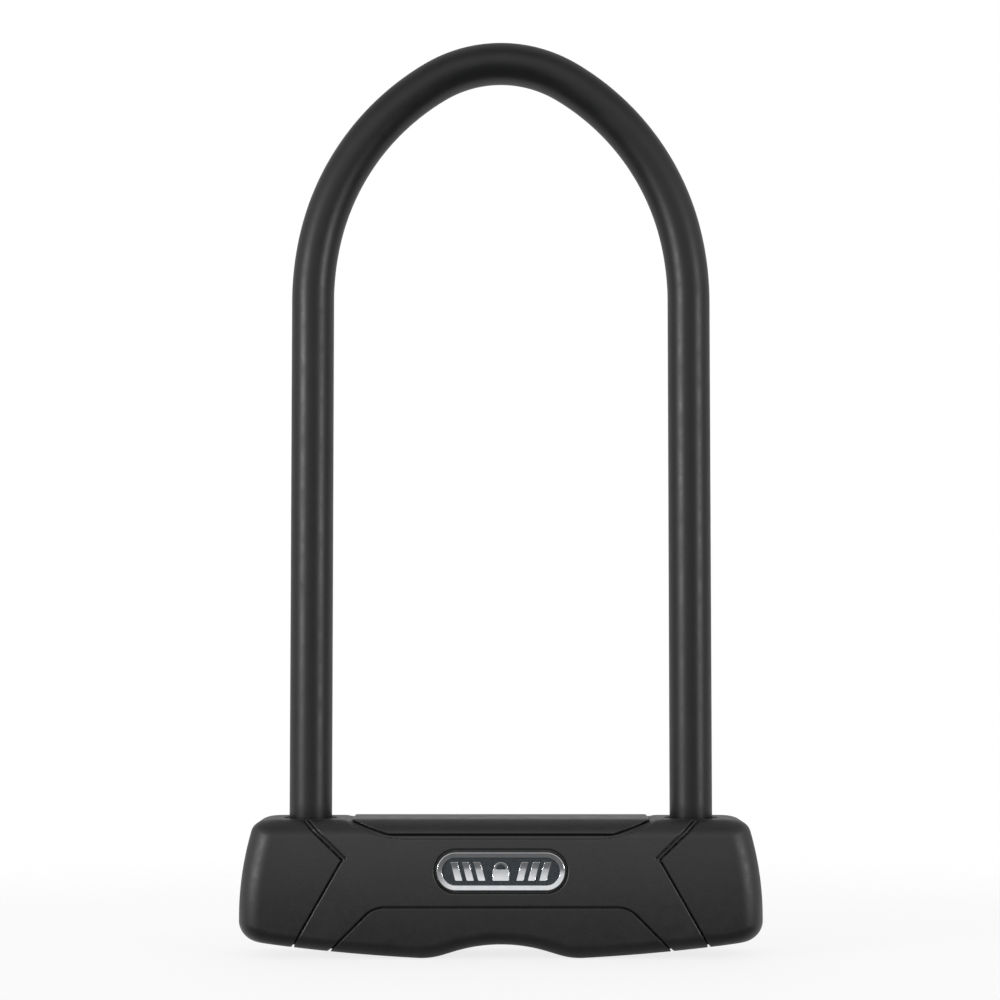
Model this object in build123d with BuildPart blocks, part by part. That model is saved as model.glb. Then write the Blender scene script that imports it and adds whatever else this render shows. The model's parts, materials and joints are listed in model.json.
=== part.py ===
"""A bicycle U-lock: a coated steel shackle in a crossbar that double-bolts both legs.

Millimetres. +X runs along the crossbar, +Z along the shackle's legs, and the badge faces -Y.
The origin is under the middle of the crossbar, on the surface that the lock stands on.
At rest the shackle is home and the key is in its open position, with both bolts drawn back.
"""

import os
from math import cos, radians, sin

from build123d import *

# ---------------------------------------------------------------- shackle
LEG_X = 60.8  # leg axis from the middle: 108 mm between the coated legs
ROD_R = 6.0  # 12 mm hardened rod
COATING_R = 6.8
COATING_FIT = 0.02
LEG_END_Z = 14.0
LEG_CHAMFER = 1.2
STRAIGHT_TOP_Z = 209.5  # where the legs start to bend
SIDE_BEND_R = 93.0  # the crown is a compound curve of three arcs on each side
SHOULDER_BEND_R = 80.5
SIDE_BEND = 13.3  # degrees turned by each arc
SHOULDER_BEND = 45.8
CROWN_BEND = 90.0 - SIDE_BEND - SHOULDER_BEND

# ---------------------------------------------------------------- crossbar outside
BODY_H = 43.6
BODY_HALF_L = 82.6
BODY_HALF_D = 18.0
END_R = 103.0  # how the ends bulge, seen from the front
END_WIDE_Z = 12.4  # height at which the ends are widest
END_ROUND = 7.5  # rounding of the ends, seen from above
TOP_ROUND = 5.6
BOTTOM_ROUND = 5.0
RECESS_H = 4.3  # height of the finger recess under the middle
RECESS_R = 50.0
WAVE_SLOPE = 17.0  # degrees, between the recess and the lobes that the lock stands on
LOBE_R = 23.0
SOLE_START = 3.1  # slope in degrees where the sole leaves a lobe
SOLE_R = 600.0
SOLE_SWEEP = 10.0

# ---------------------------------------------------------------- cover seams, seen from the front
GROOVE_W = 1.0
GROOVE_DEPTH = 0.9
CHEVRON_TOP = (63.0, BODY_H)
CHEVRON_POINT = (49.9, 31.0)
CHEVRON_BOTTOM = (65.3, 3.9)
STRIP_TOP = (48.3, BODY_H)
STRIP_CORNER = (35.3, 38.9)
STRIP_CORNER_R = 5.0
GRIP_BOTTOM = (52.9, 3.3)
GRIP_CORNER = (40.0, 16.2)
GRIP_CORNER_R = 8.0
SEAM_OVERRUN = 0.6  # how far a seam's last leg runs on past the body, as a share of that leg
WIDE = 120.0  # past every side of the crossbar

# ---------------------------------------------------------------- steel sleeve and lock case
SLEEVE_HALF_L = 73.0
SLEEVE_HALF_D = 15.2
SLEEVE_BOTTOM_Z = 7.5
SLEEVE_TOP_Z = 41.1
SLEEVE_WALL = 2.2
SLEEVE_ROUND = 5.0
END_POCKET = (78.5, 12.5, 12.0, 36.0)  # inside each end cap: reach, half depth, low, high
END_POCKET_ROUND = 4.0
END_PLUG_T = 3.4
CASE_HALF_L = 69.5
CASE_FIT = 0.05
SEAL_R = 8.8
SEAL_BORE_R = 7.0
SEAL_TOP_Z = 43.2
COATING_END_Z = 41.8
LEG_HOLE_R = 6.3
SOCKET_R = 6.2
SOCKET_FLOOR_Z = 11.4
BUFFER_H = 2.3

# ---------------------------------------------------------------- bolt work
BOLT_Z = 33.6
BOLT_R = 4.5
BOLT_CHANNEL_R = 4.6
BOLT_TIP_X = 54.2
BOLT_NECK_X = 14.0
BOLT_CHAMFER = 0.6
BOLT_TRAVEL = 4.6  # over a quarter turn of the key
TAIL_W = 5.6
TAIL_Z = (32.2, 37.0)
TAIL_END = 2.2  # past the drive pin's axis
PIN_R = 1.25
PIN_X = 4.8
PIN_Z = (28.4, 35.0)
NOTCH_DEPTH = 4.8
NOTCH_HALF_H = 4.9
CAM_R = 11.7
CAM_Z = (27.8, 31.8)
CAM_SLOT_FLOOR_Z = 28.2
CAM_SLOT_FIT = 0.12
CAM_SLOT_POINTS = 7
CHAMBER_R = 12.1
CHAMBER_Z = (27.4, 32.2)
KEY_TURN = 90.0

# ---------------------------------------------------------------- disc cylinder
HOUSING_R = 10.0
HOUSING_TOP_Z = 26.4
HOUSING_FIT = 0.05
PLUG_R = 6.5
PLUG_FIT = 0.05
PLUG_Z = (9.0, 27.6)
GUARD_R = 7.5
GUARD_FACE_Z = 7.0
DISC_ROOM_R = 5.25
DISC_ROOM_TOP_Z = 24.3
DISC_R = 5.15
DISC_T = 1.5
DISC_LOW_Z = 9.2
DISC_ANGLES = (54, 18, 72, 36, 0, 90, 54, 18)  # how each disc stands once the key has set it
SPACER_T = 0.4
SPACER_HOLE_R = 3.9
KEY_SLOT = (7.0, 2.6)
SIDEBAR_W = 2.2
SIDEBAR_R = (4.3, 6.35)  # its inner and outer distance from the plug's axis
SIDEBAR_Z = (9.6, 23.8)
SIDEBAR_FIT = 0.1
SIDEBAR_SEAT_R = 7.6
TANG = (3.6, 7.0)
TANG_TOP_Z = 31.0
TANG_FIT = 0.05
CLIP_Z = (26.5, 27.0)
CLIP_R = 8.2
CLIP_GROOVE_R = 5.8
CLIP_GAP = 60.0  # degrees left open
CLIP_ROOM_R = 8.6
CYLINDER_PIN_X = 9.6
CYLINDER_PIN_Z = 17.0
CYLINDER_PIN_R = 1.25
CYLINDER_PIN_HALF_L = 11.0

# ---------------------------------------------------------------- fasteners of the case
SCREW_XS = (22.0, 44.0)
SCREW_Z = 18.0
SCREW_R = 1.5
SCREW_HEAD_R = 2.75
SCREW_HEAD_H = 2.6
SCREW_SEAT_Y = -10.0
SCREW_END_Y = 9.0
SCREW_SOCKET_R = 1.3
SCREW_FIT = 0.2
DOWEL_X = 33.0
DOWEL_Z = 24.0
DOWEL_R = 1.5
DOWEL_HALF_L = 5.0

# ---------------------------------------------------------------- keyhole shutter
TRACK_X = (-9.2, 31.5)
TRACK_D = 18.0
TRACK_LOW_Z = 6.7
SHUTTER_X = (-9.0, 14.0)
SHUTTER_D = 17.6
SHUTTER_Z = (5.4, 6.6)
SHUTTER_ROOM_Z = 5.3
WINDOW_X = (-8.5, 13.5)
WINDOW_D = 16.0
WINDOW_R = 3.0
RIB_XS = (-7.4, -6.0, -4.6)
RIB_W = 0.7
RIB_LOW_Z = 4.5
RIB_D = 11.0
KEYHOLE_R = 7.8

# ---------------------------------------------------------------- badge
BADGE_Z = 27.5
BADGE_POCKET = (42.0, 13.9)
BADGE = (40.3, 11.95)
BADGE_RIM = 1.7
BADGE_FLOOR = 16.2  # distance forward of the middle plane
BADGE_PLATE_FACE = 17.2
EMBLEM_FACE = 17.75
BADGE_BEVEL = 0.7
EMBLEM_H = 5.8
BAR_W = 2.3
BAR_PITCH = 3.6
BAR_SLANT = 1.6
BAR_FIRST_X = 6.4
BARS = 3
LOCK_W = 5.2
LOCK_BODY_H = 3.6
LOCK_LOOP_R = 1.9
LOCK_LOOP_W = 0.8

HERE_UP = (Align.CENTER, Align.CENTER, Align.MIN)
SIDES = {"left": -1, "right": 1}

os.makedirs("parts", exist_ok=True)


def save(builder, name):
    """Labels a finished piece and writes its STEP file."""
    builder.part.label = name
    export_step(builder.part, f"parts/{name}.step")


# ================================================================ shackle
def shackle_path(low_z):
    """The shackle's centreline, from one leg's low end over the crown to the other's."""
    crown_r = (
        LEG_X
        - SIDE_BEND_R * (1 - sin(radians(90 - SIDE_BEND)))
        - SHOULDER_BEND_R * (sin(radians(90 - SIDE_BEND)) - sin(radians(CROWN_BEND)))
    ) / sin(radians(CROWN_BEND))
    with BuildLine(Plane.XZ) as path:
        leg = Line((LEG_X, low_z), (LEG_X, STRAIGHT_TOP_Z))
        side = JernArc(leg @ 1, leg % 1, SIDE_BEND_R, SIDE_BEND)
        shoulder = JernArc(side @ 1, side % 1, SHOULDER_BEND_R, SHOULDER_BEND)
        JernArc(shoulder @ 1, shoulder % 1, crown_r, CROWN_BEND)
        mirror(about=Plane.YZ)
    return path.wires()[0]


def make_shackle_rod():
    """The hardened bar, with a notch on the inner side of each leg for its bolt."""
    path = shackle_path(LEG_END_Z)
    with BuildPart() as rod:
        with BuildSketch(Plane(origin=path @ 0, z_dir=path % 0)):
            Circle(ROD_R)
        sweep(path=path)
        chamfer(rod.edges().group_by(Axis.Z)[0], LEG_CHAMFER)
        with Locations(*[(side * (LEG_X - ROD_R), 0, BOLT_Z) for side in SIDES.values()]):
            Box(2 * NOTCH_DEPTH, 2 * COATING_R, 2 * NOTCH_HALF_H, mode=Mode.SUBTRACT)
    save(rod, "shackle_rod")


def make_shackle_coating():
    """The soft skin over everything that shows above the crossbar."""
    path = shackle_path(COATING_END_Z)
    with BuildPart() as coating:
        with BuildSketch(Plane(origin=path @ 0, z_dir=path % 0)):
            Circle(COATING_R)
            Circle(ROD_R + COATING_FIT, mode=Mode.SUBTRACT)
        sweep(path=path)
    save(coating, "shackle_coating")


# ================================================================ crossbar covers
def front_outline(inset):
    """The crossbar from the front, run on past its ends: flat top, finger recess, two lobes."""
    wave_run = (
        RECESS_H - (RECESS_R + LOBE_R) * (1 - cos(radians(WAVE_SLOPE)))
    ) / sin(radians(WAVE_SLOPE))
    with BuildSketch(Plane.XZ) as front:
        with BuildLine():
            recess = JernArc((0, RECESS_H + inset), (1, 0), RECESS_R + inset, -WAVE_SLOPE)
            wave = Line(recess @ 1, recess @ 1 + (recess % 1) * wave_run)
            lobe = JernArc(wave @ 1, wave % 1, LOBE_R - inset, WAVE_SLOPE + SOLE_START)
            sole = JernArc(lobe @ 1, lobe % 1, SOLE_R - inset, SOLE_SWEEP)
            Polyline(sole @ 1, (WIDE, BODY_H - inset), (0, BODY_H - inset))
            mirror(about=Plane.YZ)
        make_face()
    return front.sketch


def end_disc(inset):
    """The large round-edged disc that shapes the crossbar's right end."""
    middle_x = BODY_HALF_L - END_R
    with BuildPart() as disc:
        with BuildSketch(Plane.XY.offset(END_WIDE_Z)) as section:
            with Locations((middle_x, 0)):
                Rectangle(END_R - inset, 2 * (BODY_HALF_D - inset), align=(Align.MAX, Align.CENTER))
            fillet(section.vertices().group_by(Axis.X)[0], END_ROUND - inset)
        revolve(axis=Axis((middle_x, 0, END_WIDE_Z), (0, 1, 0)))
    return disc.part


def envelope(inset):
    """The crossbar's outside, drawn in by inset on every side."""
    with BuildPart() as body:
        extrude(front_outline(inset), amount=BODY_HALF_D - inset, both=True)
        add(end_disc(inset), mode=Mode.INTERSECT)
        split(bisect_by=Plane.YZ)
        mirror(about=Plane.YZ)
        top_rim = body.edges().filter_by(lambda edge: edge.center().Z > BODY_H - inset - 0.1)
        fillet(top_rim, TOP_ROUND - inset)
        low = body.edges().filter_by(lambda edge: edge.center().Z < SLEEVE_BOTTOM_Z)
        sole_rim = low.filter_by(lambda edge: abs(edge.center().Y) > 1 or abs(edge.center().X) > LEG_X)
        fillet(sole_rim, BOTTOM_ROUND - inset)
    return body.part


def beyond(inner, outer):
    """A point on the line from inner to outer, some way past outer."""
    return tuple(b + SEAM_OVERRUN * (b - a) for a, b in zip(inner, outer))


def flipped(point):
    """The same point on the crossbar's other half."""
    return (-point[0], point[1])


def chevron_seam():
    """The seam between the centre cover and the right end cap."""
    with BuildLine() as seam:
        low = beyond(CHEVRON_POINT, CHEVRON_BOTTOM)
        Polyline(beyond(CHEVRON_POINT, CHEVRON_TOP), CHEVRON_POINT, low)
    return seam.line


def strip_seam():
    """The seam under the top strip."""
    end = beyond(STRIP_CORNER, STRIP_TOP)
    with BuildLine() as seam:
        FilletPolyline(flipped(end), flipped(STRIP_CORNER), STRIP_CORNER, end, radius=STRIP_CORNER_R)
    return seam.line


def grip_seam():
    """The seam over the bottom grip."""
    end = beyond(GRIP_CORNER, GRIP_BOTTOM)
    with BuildLine() as seam:
        FilletPolyline(flipped(end), flipped(GRIP_CORNER), GRIP_CORNER, end, radius=GRIP_CORNER_R)
    return seam.line


def region(seam, reach):
    """Everything on one side of a seam, as far as the corner point reach."""
    first = seam @ 0
    last = seam @ 1
    with BuildPart() as block:
        with BuildSketch(Plane.XZ):
            with BuildLine():
                add(seam)
                if abs(first.X - last.X) > LEG_X:
                    Polyline(first, (first.X, reach[1]), (last.X, reach[1]), last)
                else:
                    Polyline(first, (reach[0], first.Y), (reach[0], last.Y), last)
            make_face()
        extrude(amount=WIDE, both=True)
    return block.part


def groove(seam):
    """The shallow groove that a seam shows as, all the way round the crossbar."""
    with BuildPart() as band:
        with BuildSketch(Plane.XZ):
            trace(seam, GROOVE_W)
        extrude(amount=WIDE, both=True)
    return band.part


def sleeve_section(inset):
    """The steel sleeve's outline across the crossbar, drawn in by inset."""
    height = SLEEVE_TOP_Z - SLEEVE_BOTTOM_Z
    with BuildSketch(Plane.YZ) as section:
        with Locations((0, SLEEVE_BOTTOM_Z + height / 2)):
            RectangleRounded(2 * (SLEEVE_HALF_D - inset), height - 2 * inset, SLEEVE_ROUND - inset)
    return section.sketch


def cover_blank(cap_seams, other_seams):
    """The covers before they are parted: hollow for the sleeve, drilled for the legs, grooved."""
    reach, half_d, low, high = END_POCKET
    with BuildPart() as grooves:
        for seam in cap_seams + other_seams:
            add(groove(seam))
        add(envelope(GROOVE_DEPTH), mode=Mode.SUBTRACT)
    with BuildPart() as blank:
        add(envelope(0))
        extrude(sleeve_section(0), amount=SLEEVE_HALF_L, both=True, mode=Mode.SUBTRACT)
        with BuildSketch(Plane.YZ):
            with Locations((0, (low + high) / 2)):
                RectangleRounded(2 * half_d, high - low, END_POCKET_ROUND)
        extrude(amount=reach, both=True, mode=Mode.SUBTRACT)
        with Locations(*[(side * LEG_X, 0, SLEEVE_TOP_Z) for side in SIDES.values()]):
            Cylinder(SEAL_R, BODY_H, align=HERE_UP, mode=Mode.SUBTRACT)
        add(grooves.part, mode=Mode.SUBTRACT)
    return blank.part


def make_end_cap(blank, name, cap_region):
    """A hollow moulded cap over one end of the sleeve."""
    with BuildPart() as cap:
        add(blank)
        add(cap_region, mode=Mode.INTERSECT)
    save(cap, name)


def make_top_strip(blank, strip_region):
    """The strip over the top edge between the legs."""
    with BuildPart() as strip:
        add(blank)
        add(strip_region, mode=Mode.INTERSECT)
    save(strip, "top_strip")


def make_bottom_grip(blank, grip_region):
    """The grip under the crossbar, with the shutter's window in its finger recess."""
    with BuildPart() as grip:
        add(blank)
        add(grip_region, mode=Mode.INTERSECT)
        with BuildSketch(Plane.XY.offset(SHUTTER_ROOM_Z)):
            with Locations((sum(TRACK_X) / 2, 0)):
                Rectangle(TRACK_X[1] - TRACK_X[0], TRACK_D)
        extrude(amount=SLEEVE_BOTTOM_Z - SHUTTER_ROOM_Z, mode=Mode.SUBTRACT)
        with BuildSketch():
            with Locations((sum(WINDOW_X) / 2, 0)):
                RectangleRounded(WINDOW_X[1] - WINDOW_X[0], WINDOW_D, WINDOW_R)
        extrude(amount=SHUTTER_ROOM_Z, mode=Mode.SUBTRACT)
    save(grip, "bottom_grip")


def make_centre_cover(blank, other_regions):
    """The cover around the middle, with the badge's pocket in its front."""
    with BuildPart() as cover:
        add(blank)
        for other in other_regions:
            add(other, mode=Mode.SUBTRACT)
        with BuildSketch(Plane.XZ.offset(BADGE_FLOOR)):
            with Locations((0, BADGE_Z)):
                SlotOverall(*BADGE_POCKET)
        extrude(amount=BODY_HALF_D, mode=Mode.SUBTRACT)
    save(cover, "centre_cover")


def make_covers():
    """All five covers, parted along the seams."""
    right_cap_seam = chevron_seam()
    left_cap_seam = right_cap_seam.mirror(Plane.YZ)
    strip = strip_seam()
    grip = grip_seam()
    blank = cover_blank([left_cap_seam, right_cap_seam], [strip, grip])
    left_region = region(left_cap_seam, (-WIDE, 0))
    right_region = region(right_cap_seam, (WIDE, 0))
    strip_region = region(strip, (0, WIDE))
    grip_region = region(grip, (0, -WIDE))
    make_end_cap(blank, "left_end_cap", left_region)
    make_end_cap(blank, "right_end_cap", right_region)
    make_top_strip(blank, strip_region)
    make_bottom_grip(blank, grip_region)
    make_centre_cover(blank, [left_region, right_region, strip_region, grip_region])


# ================================================================ badge
def make_badge_bezel():
    """The bevelled chrome ring."""
    with BuildPart() as bezel:
        with BuildSketch(Plane.XZ.offset(BADGE_FLOOR)):
            with Locations((0, BADGE_Z)):
                SlotOverall(*BADGE)
                SlotOverall(*[size - 2 * BADGE_RIM for size in BADGE], mode=Mode.SUBTRACT)
        extrude(amount=BODY_HALF_D - BADGE_FLOOR)
        chamfer(bezel.faces().sort_by(Axis.Y)[0].edges(), BADGE_BEVEL)
    save(bezel, "badge_bezel")


def make_badge_plate():
    """The dark plate inside the ring."""
    with BuildPart() as plate:
        with BuildSketch(Plane.XZ.offset(BADGE_FLOOR)):
            with Locations((0, BADGE_Z)):
                SlotOverall(*[size - 2 * BADGE_RIM for size in BADGE])
        extrude(amount=BADGE_PLATE_FACE - BADGE_FLOOR)
    save(plate, "badge_plate")


def make_badge_emblem():
    """A raised padlock with slanted bars on both sides of it."""
    lock_z = BADGE_Z - EMBLEM_H / 2
    loop_z = lock_z + LOCK_BODY_H
    with BuildPart() as emblem:
        with BuildSketch(Plane.XZ.offset(BADGE_PLATE_FACE)):
            for place in range(BARS):
                inner_x = BAR_FIRST_X - BAR_SLANT / 2 + place * BAR_PITCH
                outer_x = inner_x + BAR_W
                with BuildLine():
                    Polyline(
                        (inner_x, lock_z),
                        (outer_x, lock_z),
                        (outer_x + BAR_SLANT, lock_z + EMBLEM_H),
                        (inner_x + BAR_SLANT, lock_z + EMBLEM_H),
                        close=True,
                    )
                make_face()
            mirror(about=Plane.YZ)
            with Locations((0, loop_z)):
                Circle(LOCK_LOOP_R + LOCK_LOOP_W / 2)
                Circle(LOCK_LOOP_R - LOCK_LOOP_W / 2, mode=Mode.SUBTRACT)
            with Locations((0, lock_z)):
                Rectangle(LOCK_W, LOCK_BODY_H, align=(Align.CENTER, Align.MIN))
        extrude(amount=EMBLEM_FACE - BADGE_PLATE_FACE)
    save(emblem, "badge_emblem")


# ================================================================ steel sleeve
def make_steel_sleeve():
    """The rectangular tube, open at the top for the legs and below for the cylinder."""
    with BuildPart() as sleeve:
        extrude(sleeve_section(0), amount=SLEEVE_HALF_L, both=True)
        extrude(sleeve_section(SLEEVE_WALL), amount=SLEEVE_HALF_L, both=True, mode=Mode.SUBTRACT)
        with Locations(*[(side * LEG_X, 0, BOLT_Z) for side in SIDES.values()]):
            Cylinder(LEG_HOLE_R, BODY_H, align=HERE_UP, mode=Mode.SUBTRACT)
        Cylinder(HOUSING_R + HOUSING_FIT, PLUG_Z[1], align=HERE_UP, mode=Mode.SUBTRACT)
    save(sleeve, "steel_sleeve")


def make_end_plug(name, side):
    """The steel block that closes one end of the sleeve."""
    with BuildPart() as plug:
        extrude(sleeve_section(SLEEVE_WALL + CASE_FIT), amount=SLEEVE_HALF_L, both=True)
        with Locations((-side * END_PLUG_T, 0, BOLT_Z)):
            Box(2 * SLEEVE_HALF_L, WIDE, WIDE, mode=Mode.SUBTRACT)
    save(plug, name)


def make_shackle_seal(name, side):
    """The rubber ring that keeps water out around a leg."""
    with BuildPart() as seal:
        with BuildSketch(Plane.XY.offset(SLEEVE_TOP_Z)):
            with Locations((side * LEG_X, 0)):
                Circle(SEAL_R)
                Circle(SEAL_BORE_R, mode=Mode.SUBTRACT)
        extrude(amount=SEAL_TOP_Z - SLEEVE_TOP_Z)
    save(seal, name)


def make_leg_buffer(name, side):
    """The rubber pad under a leg's foot."""
    with BuildPart() as pad:
        with BuildSketch(Plane.XY.offset(SOCKET_FLOOR_Z)):
            with Locations((side * LEG_X, 0)):
                Circle(ROD_R)
        extrude(amount=BUFFER_H)
    save(pad, name)


# ================================================================ lock case
def case_core():
    """The die-cast filling of the sleeve, before it is split into halves."""
    with BuildPart() as core:
        extrude(sleeve_section(SLEEVE_WALL + CASE_FIT), amount=CASE_HALF_L, both=True)
        with Locations(*[(side * LEG_X, 0, SOCKET_FLOOR_Z) for side in SIDES.values()]):
            Cylinder(SOCKET_R, BODY_H, align=HERE_UP, mode=Mode.SUBTRACT)
        Cylinder(HOUSING_R + HOUSING_FIT, HOUSING_TOP_Z, align=HERE_UP, mode=Mode.SUBTRACT)
        Cylinder(CLIP_ROOM_R, CHAMBER_Z[1], align=HERE_UP, mode=Mode.SUBTRACT)
        with Locations((0, 0, CHAMBER_Z[0])):
            Cylinder(CHAMBER_R, CHAMBER_Z[1] - CHAMBER_Z[0], align=HERE_UP, mode=Mode.SUBTRACT)
        with BuildSketch(Plane.YZ):
            with Locations((0, BOLT_Z)):
                Circle(BOLT_CHANNEL_R)
        extrude(amount=LEG_X, both=True, mode=Mode.SUBTRACT)
        with BuildSketch(Plane.XZ):
            with Locations((CYLINDER_PIN_X, CYLINDER_PIN_Z)):
                Circle(CYLINDER_PIN_R)
        extrude(amount=CYLINDER_PIN_HALF_L, both=True, mode=Mode.SUBTRACT)
        with BuildSketch(Plane.XZ):
            with Locations((-DOWEL_X, DOWEL_Z), (DOWEL_X, DOWEL_Z)):
                Circle(DOWEL_R)
        extrude(amount=DOWEL_HALF_L, both=True, mode=Mode.SUBTRACT)
        with BuildSketch(Plane.XZ.offset(-SCREW_END_Y)):
            with Locations(*screw_places()):
                Circle(SCREW_R)
        extrude(amount=WIDE, mode=Mode.SUBTRACT)
        with BuildSketch(Plane.XZ.offset(-SCREW_SEAT_Y)):
            with Locations(*screw_places()):
                Circle(SCREW_HEAD_R + SCREW_FIT)
        extrude(amount=WIDE, mode=Mode.SUBTRACT)
    return core.part


def screw_places():
    """Where the case screws stand, seen from the front."""
    return [(side * x, SCREW_Z) for side in SIDES.values() for x in SCREW_XS]


def make_case_half(core, name, keep):
    """One half of the case, parted along the lock's middle plane."""
    with BuildPart() as half:
        add(core)
        split(bisect_by=Plane.XZ, keep=keep)
    save(half, name)


def make_case_screws():
    """Four socket-head screws that hold the case halves together."""
    with BuildPart() as screws:
        with BuildSketch(Plane.XZ.offset(-SCREW_END_Y)):
            with Locations(*screw_places()):
                Circle(SCREW_R)
        extrude(amount=SCREW_END_Y - SCREW_SEAT_Y)
        with BuildSketch(Plane.XZ.offset(-SCREW_SEAT_Y)):
            with Locations(*screw_places()):
                Circle(SCREW_HEAD_R)
                RegularPolygon(SCREW_SOCKET_R, 6, major_radius=False, mode=Mode.SUBTRACT)
        extrude(amount=SCREW_HEAD_H)
    save(screws, "case_screws")


def make_case_dowels():
    """Two pins that line the case halves up."""
    with BuildPart() as dowels:
        with BuildSketch(Plane.XZ):
            with Locations((-DOWEL_X, DOWEL_Z), (DOWEL_X, DOWEL_Z)):
                Circle(DOWEL_R)
        extrude(amount=DOWEL_HALF_L, both=True)
    save(dowels, "case_dowels")


# ================================================================ bolt work
def make_bolt(name, side):
    """A round bolt with a flat tail that reaches over the cam."""
    tail_x = PIN_X - TAIL_END
    with BuildPart() as bolt:
        with BuildSketch(Plane.YZ.offset(side * BOLT_NECK_X)):
            with Locations((0, BOLT_Z)):
                Circle(BOLT_R)
        extrude(amount=side * (BOLT_TIP_X - BOLT_NECK_X))
        chamfer(bolt.edges().sort_by(Axis.X)[0 if side < 0 else -1], BOLT_CHAMFER)
        with BuildSketch(Plane.YZ.offset(side * tail_x)):
            with Locations((0, sum(TAIL_Z) / 2)):
                Rectangle(TAIL_W, TAIL_Z[1] - TAIL_Z[0])
        extrude(amount=side * (BOLT_NECK_X - tail_x))
        with BuildSketch(Plane.XY):
            with Locations((side * PIN_X, 0)):
                Circle(PIN_R)
        extrude(amount=PIN_Z[1], mode=Mode.SUBTRACT)
    save(bolt, name)


def make_drive_pin(name, side):
    """The pin under a bolt's tail that the cam's slot pushes."""
    with BuildPart() as pin:
        with BuildSketch(Plane.XY.offset(PIN_Z[0])):
            with Locations((side * PIN_X, 0)):
                Circle(PIN_R)
        extrude(amount=PIN_Z[1] - PIN_Z[0])
    save(pin, name)


def cam_slot(start):
    """A spiral slot: the drive pin moves out by the same amount for each degree of turn."""
    places = []
    for step in range(CAM_SLOT_POINTS):
        share = step / (CAM_SLOT_POINTS - 1)
        angle = radians(start - share * KEY_TURN)
        radius = PIN_X + share * BOLT_TRAVEL
        places.append((radius * cos(angle), radius * sin(angle)))
    with BuildSketch() as slot:
        with BuildLine() as spiral:
            Spline(*places)
        trace(spiral.line, 2 * (PIN_R + CAM_SLOT_FIT))
        with Locations(places[0], places[-1]):
            Circle(PIN_R + CAM_SLOT_FIT)
    return slot.sketch


def make_drive_cam():
    """The disc that turns with the key and drives both bolts through its slots."""
    with BuildPart() as cam:
        with BuildSketch(Plane.XY.offset(CAM_Z[0])):
            Circle(CAM_R)
            Rectangle(*[size + 2 * TANG_FIT for size in TANG], mode=Mode.SUBTRACT)
        extrude(amount=CAM_Z[1] - CAM_Z[0])
        with BuildSketch(Plane.XY.offset(CAM_SLOT_FLOOR_Z)):
            add(cam_slot(0))
            add(cam_slot(180))
        extrude(amount=CAM_Z[1] - CAM_SLOT_FLOOR_Z, mode=Mode.SUBTRACT)
    save(cam, "drive_cam")


# ================================================================ disc cylinder
def make_cylinder_housing():
    """The fixed barrel that the plug turns in."""
    with BuildPart() as housing:
        with BuildSketch(Plane.XY.offset(SLEEVE_BOTTOM_Z)):
            Circle(HOUSING_R)
            Circle(PLUG_R + PLUG_FIT, mode=Mode.SUBTRACT)
        extrude(amount=HOUSING_TOP_Z - SLEEVE_BOTTOM_Z)
        with BuildSketch(Plane.XY.offset(SLEEVE_BOTTOM_Z)):
            Circle(GUARD_R + PLUG_FIT)
        extrude(amount=PLUG_Z[0] + PLUG_FIT - SLEEVE_BOTTOM_Z, mode=Mode.SUBTRACT)
        with BuildSketch(Plane.XY.offset(SIDEBAR_Z[0] - SIDEBAR_FIT)):
            seat_w = SIDEBAR_W + 2 * SIDEBAR_FIT
            Rectangle(SIDEBAR_SEAT_R, seat_w, align=(Align.MAX, Align.CENTER))
        extrude(amount=SIDEBAR_Z[1] - SIDEBAR_Z[0] + 2 * SIDEBAR_FIT, mode=Mode.SUBTRACT)
        with BuildSketch(Plane.XZ):
            with Locations((CYLINDER_PIN_X, CYLINDER_PIN_Z)):
                Circle(CYLINDER_PIN_R)
        extrude(amount=CYLINDER_PIN_HALF_L, both=True, mode=Mode.SUBTRACT)
    save(housing, "cylinder_housing")


def make_cylinder_pin():
    """The cross pin that keeps the housing in the case."""
    with BuildPart() as pin:
        with BuildSketch(Plane.XZ):
            with Locations((CYLINDER_PIN_X, CYLINDER_PIN_Z)):
                Circle(CYLINDER_PIN_R)
        extrude(amount=CYLINDER_PIN_HALF_L, both=True)
    save(pin, "cylinder_pin")


def make_cylinder_plug():
    """The turning barrel: open below for the discs, with a tang on top for the cam."""
    slot_w = SIDEBAR_W + 2 * SIDEBAR_FIT
    with BuildPart() as plug:
        with BuildSketch(Plane.XY.offset(PLUG_Z[0])):
            Circle(PLUG_R)
        extrude(amount=PLUG_Z[1] - PLUG_Z[0])
        with BuildSketch(Plane.XY.offset(PLUG_Z[0])):
            Circle(DISC_ROOM_R)
        extrude(amount=DISC_ROOM_TOP_Z - PLUG_Z[0], mode=Mode.SUBTRACT)
        with BuildSketch(Plane.XY.offset(SIDEBAR_Z[0] - SIDEBAR_FIT)):
            Rectangle(slot_w, PLUG_R + 1, align=(Align.CENTER, Align.MIN))
        extrude(amount=SIDEBAR_Z[1] - SIDEBAR_Z[0] + 2 * SIDEBAR_FIT, mode=Mode.SUBTRACT)
        with BuildSketch(Plane.XY.offset(CLIP_Z[0])):
            Circle(PLUG_R + 1)
            Circle(CLIP_GROOVE_R, mode=Mode.SUBTRACT)
        extrude(amount=CLIP_Z[1] - CLIP_Z[0], mode=Mode.SUBTRACT)
        with BuildSketch(Plane.XY.offset(PLUG_Z[1])):
            Rectangle(*TANG)
        extrude(amount=TANG_TOP_Z - PLUG_Z[1])
    save(plug, "cylinder_plug")


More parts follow.
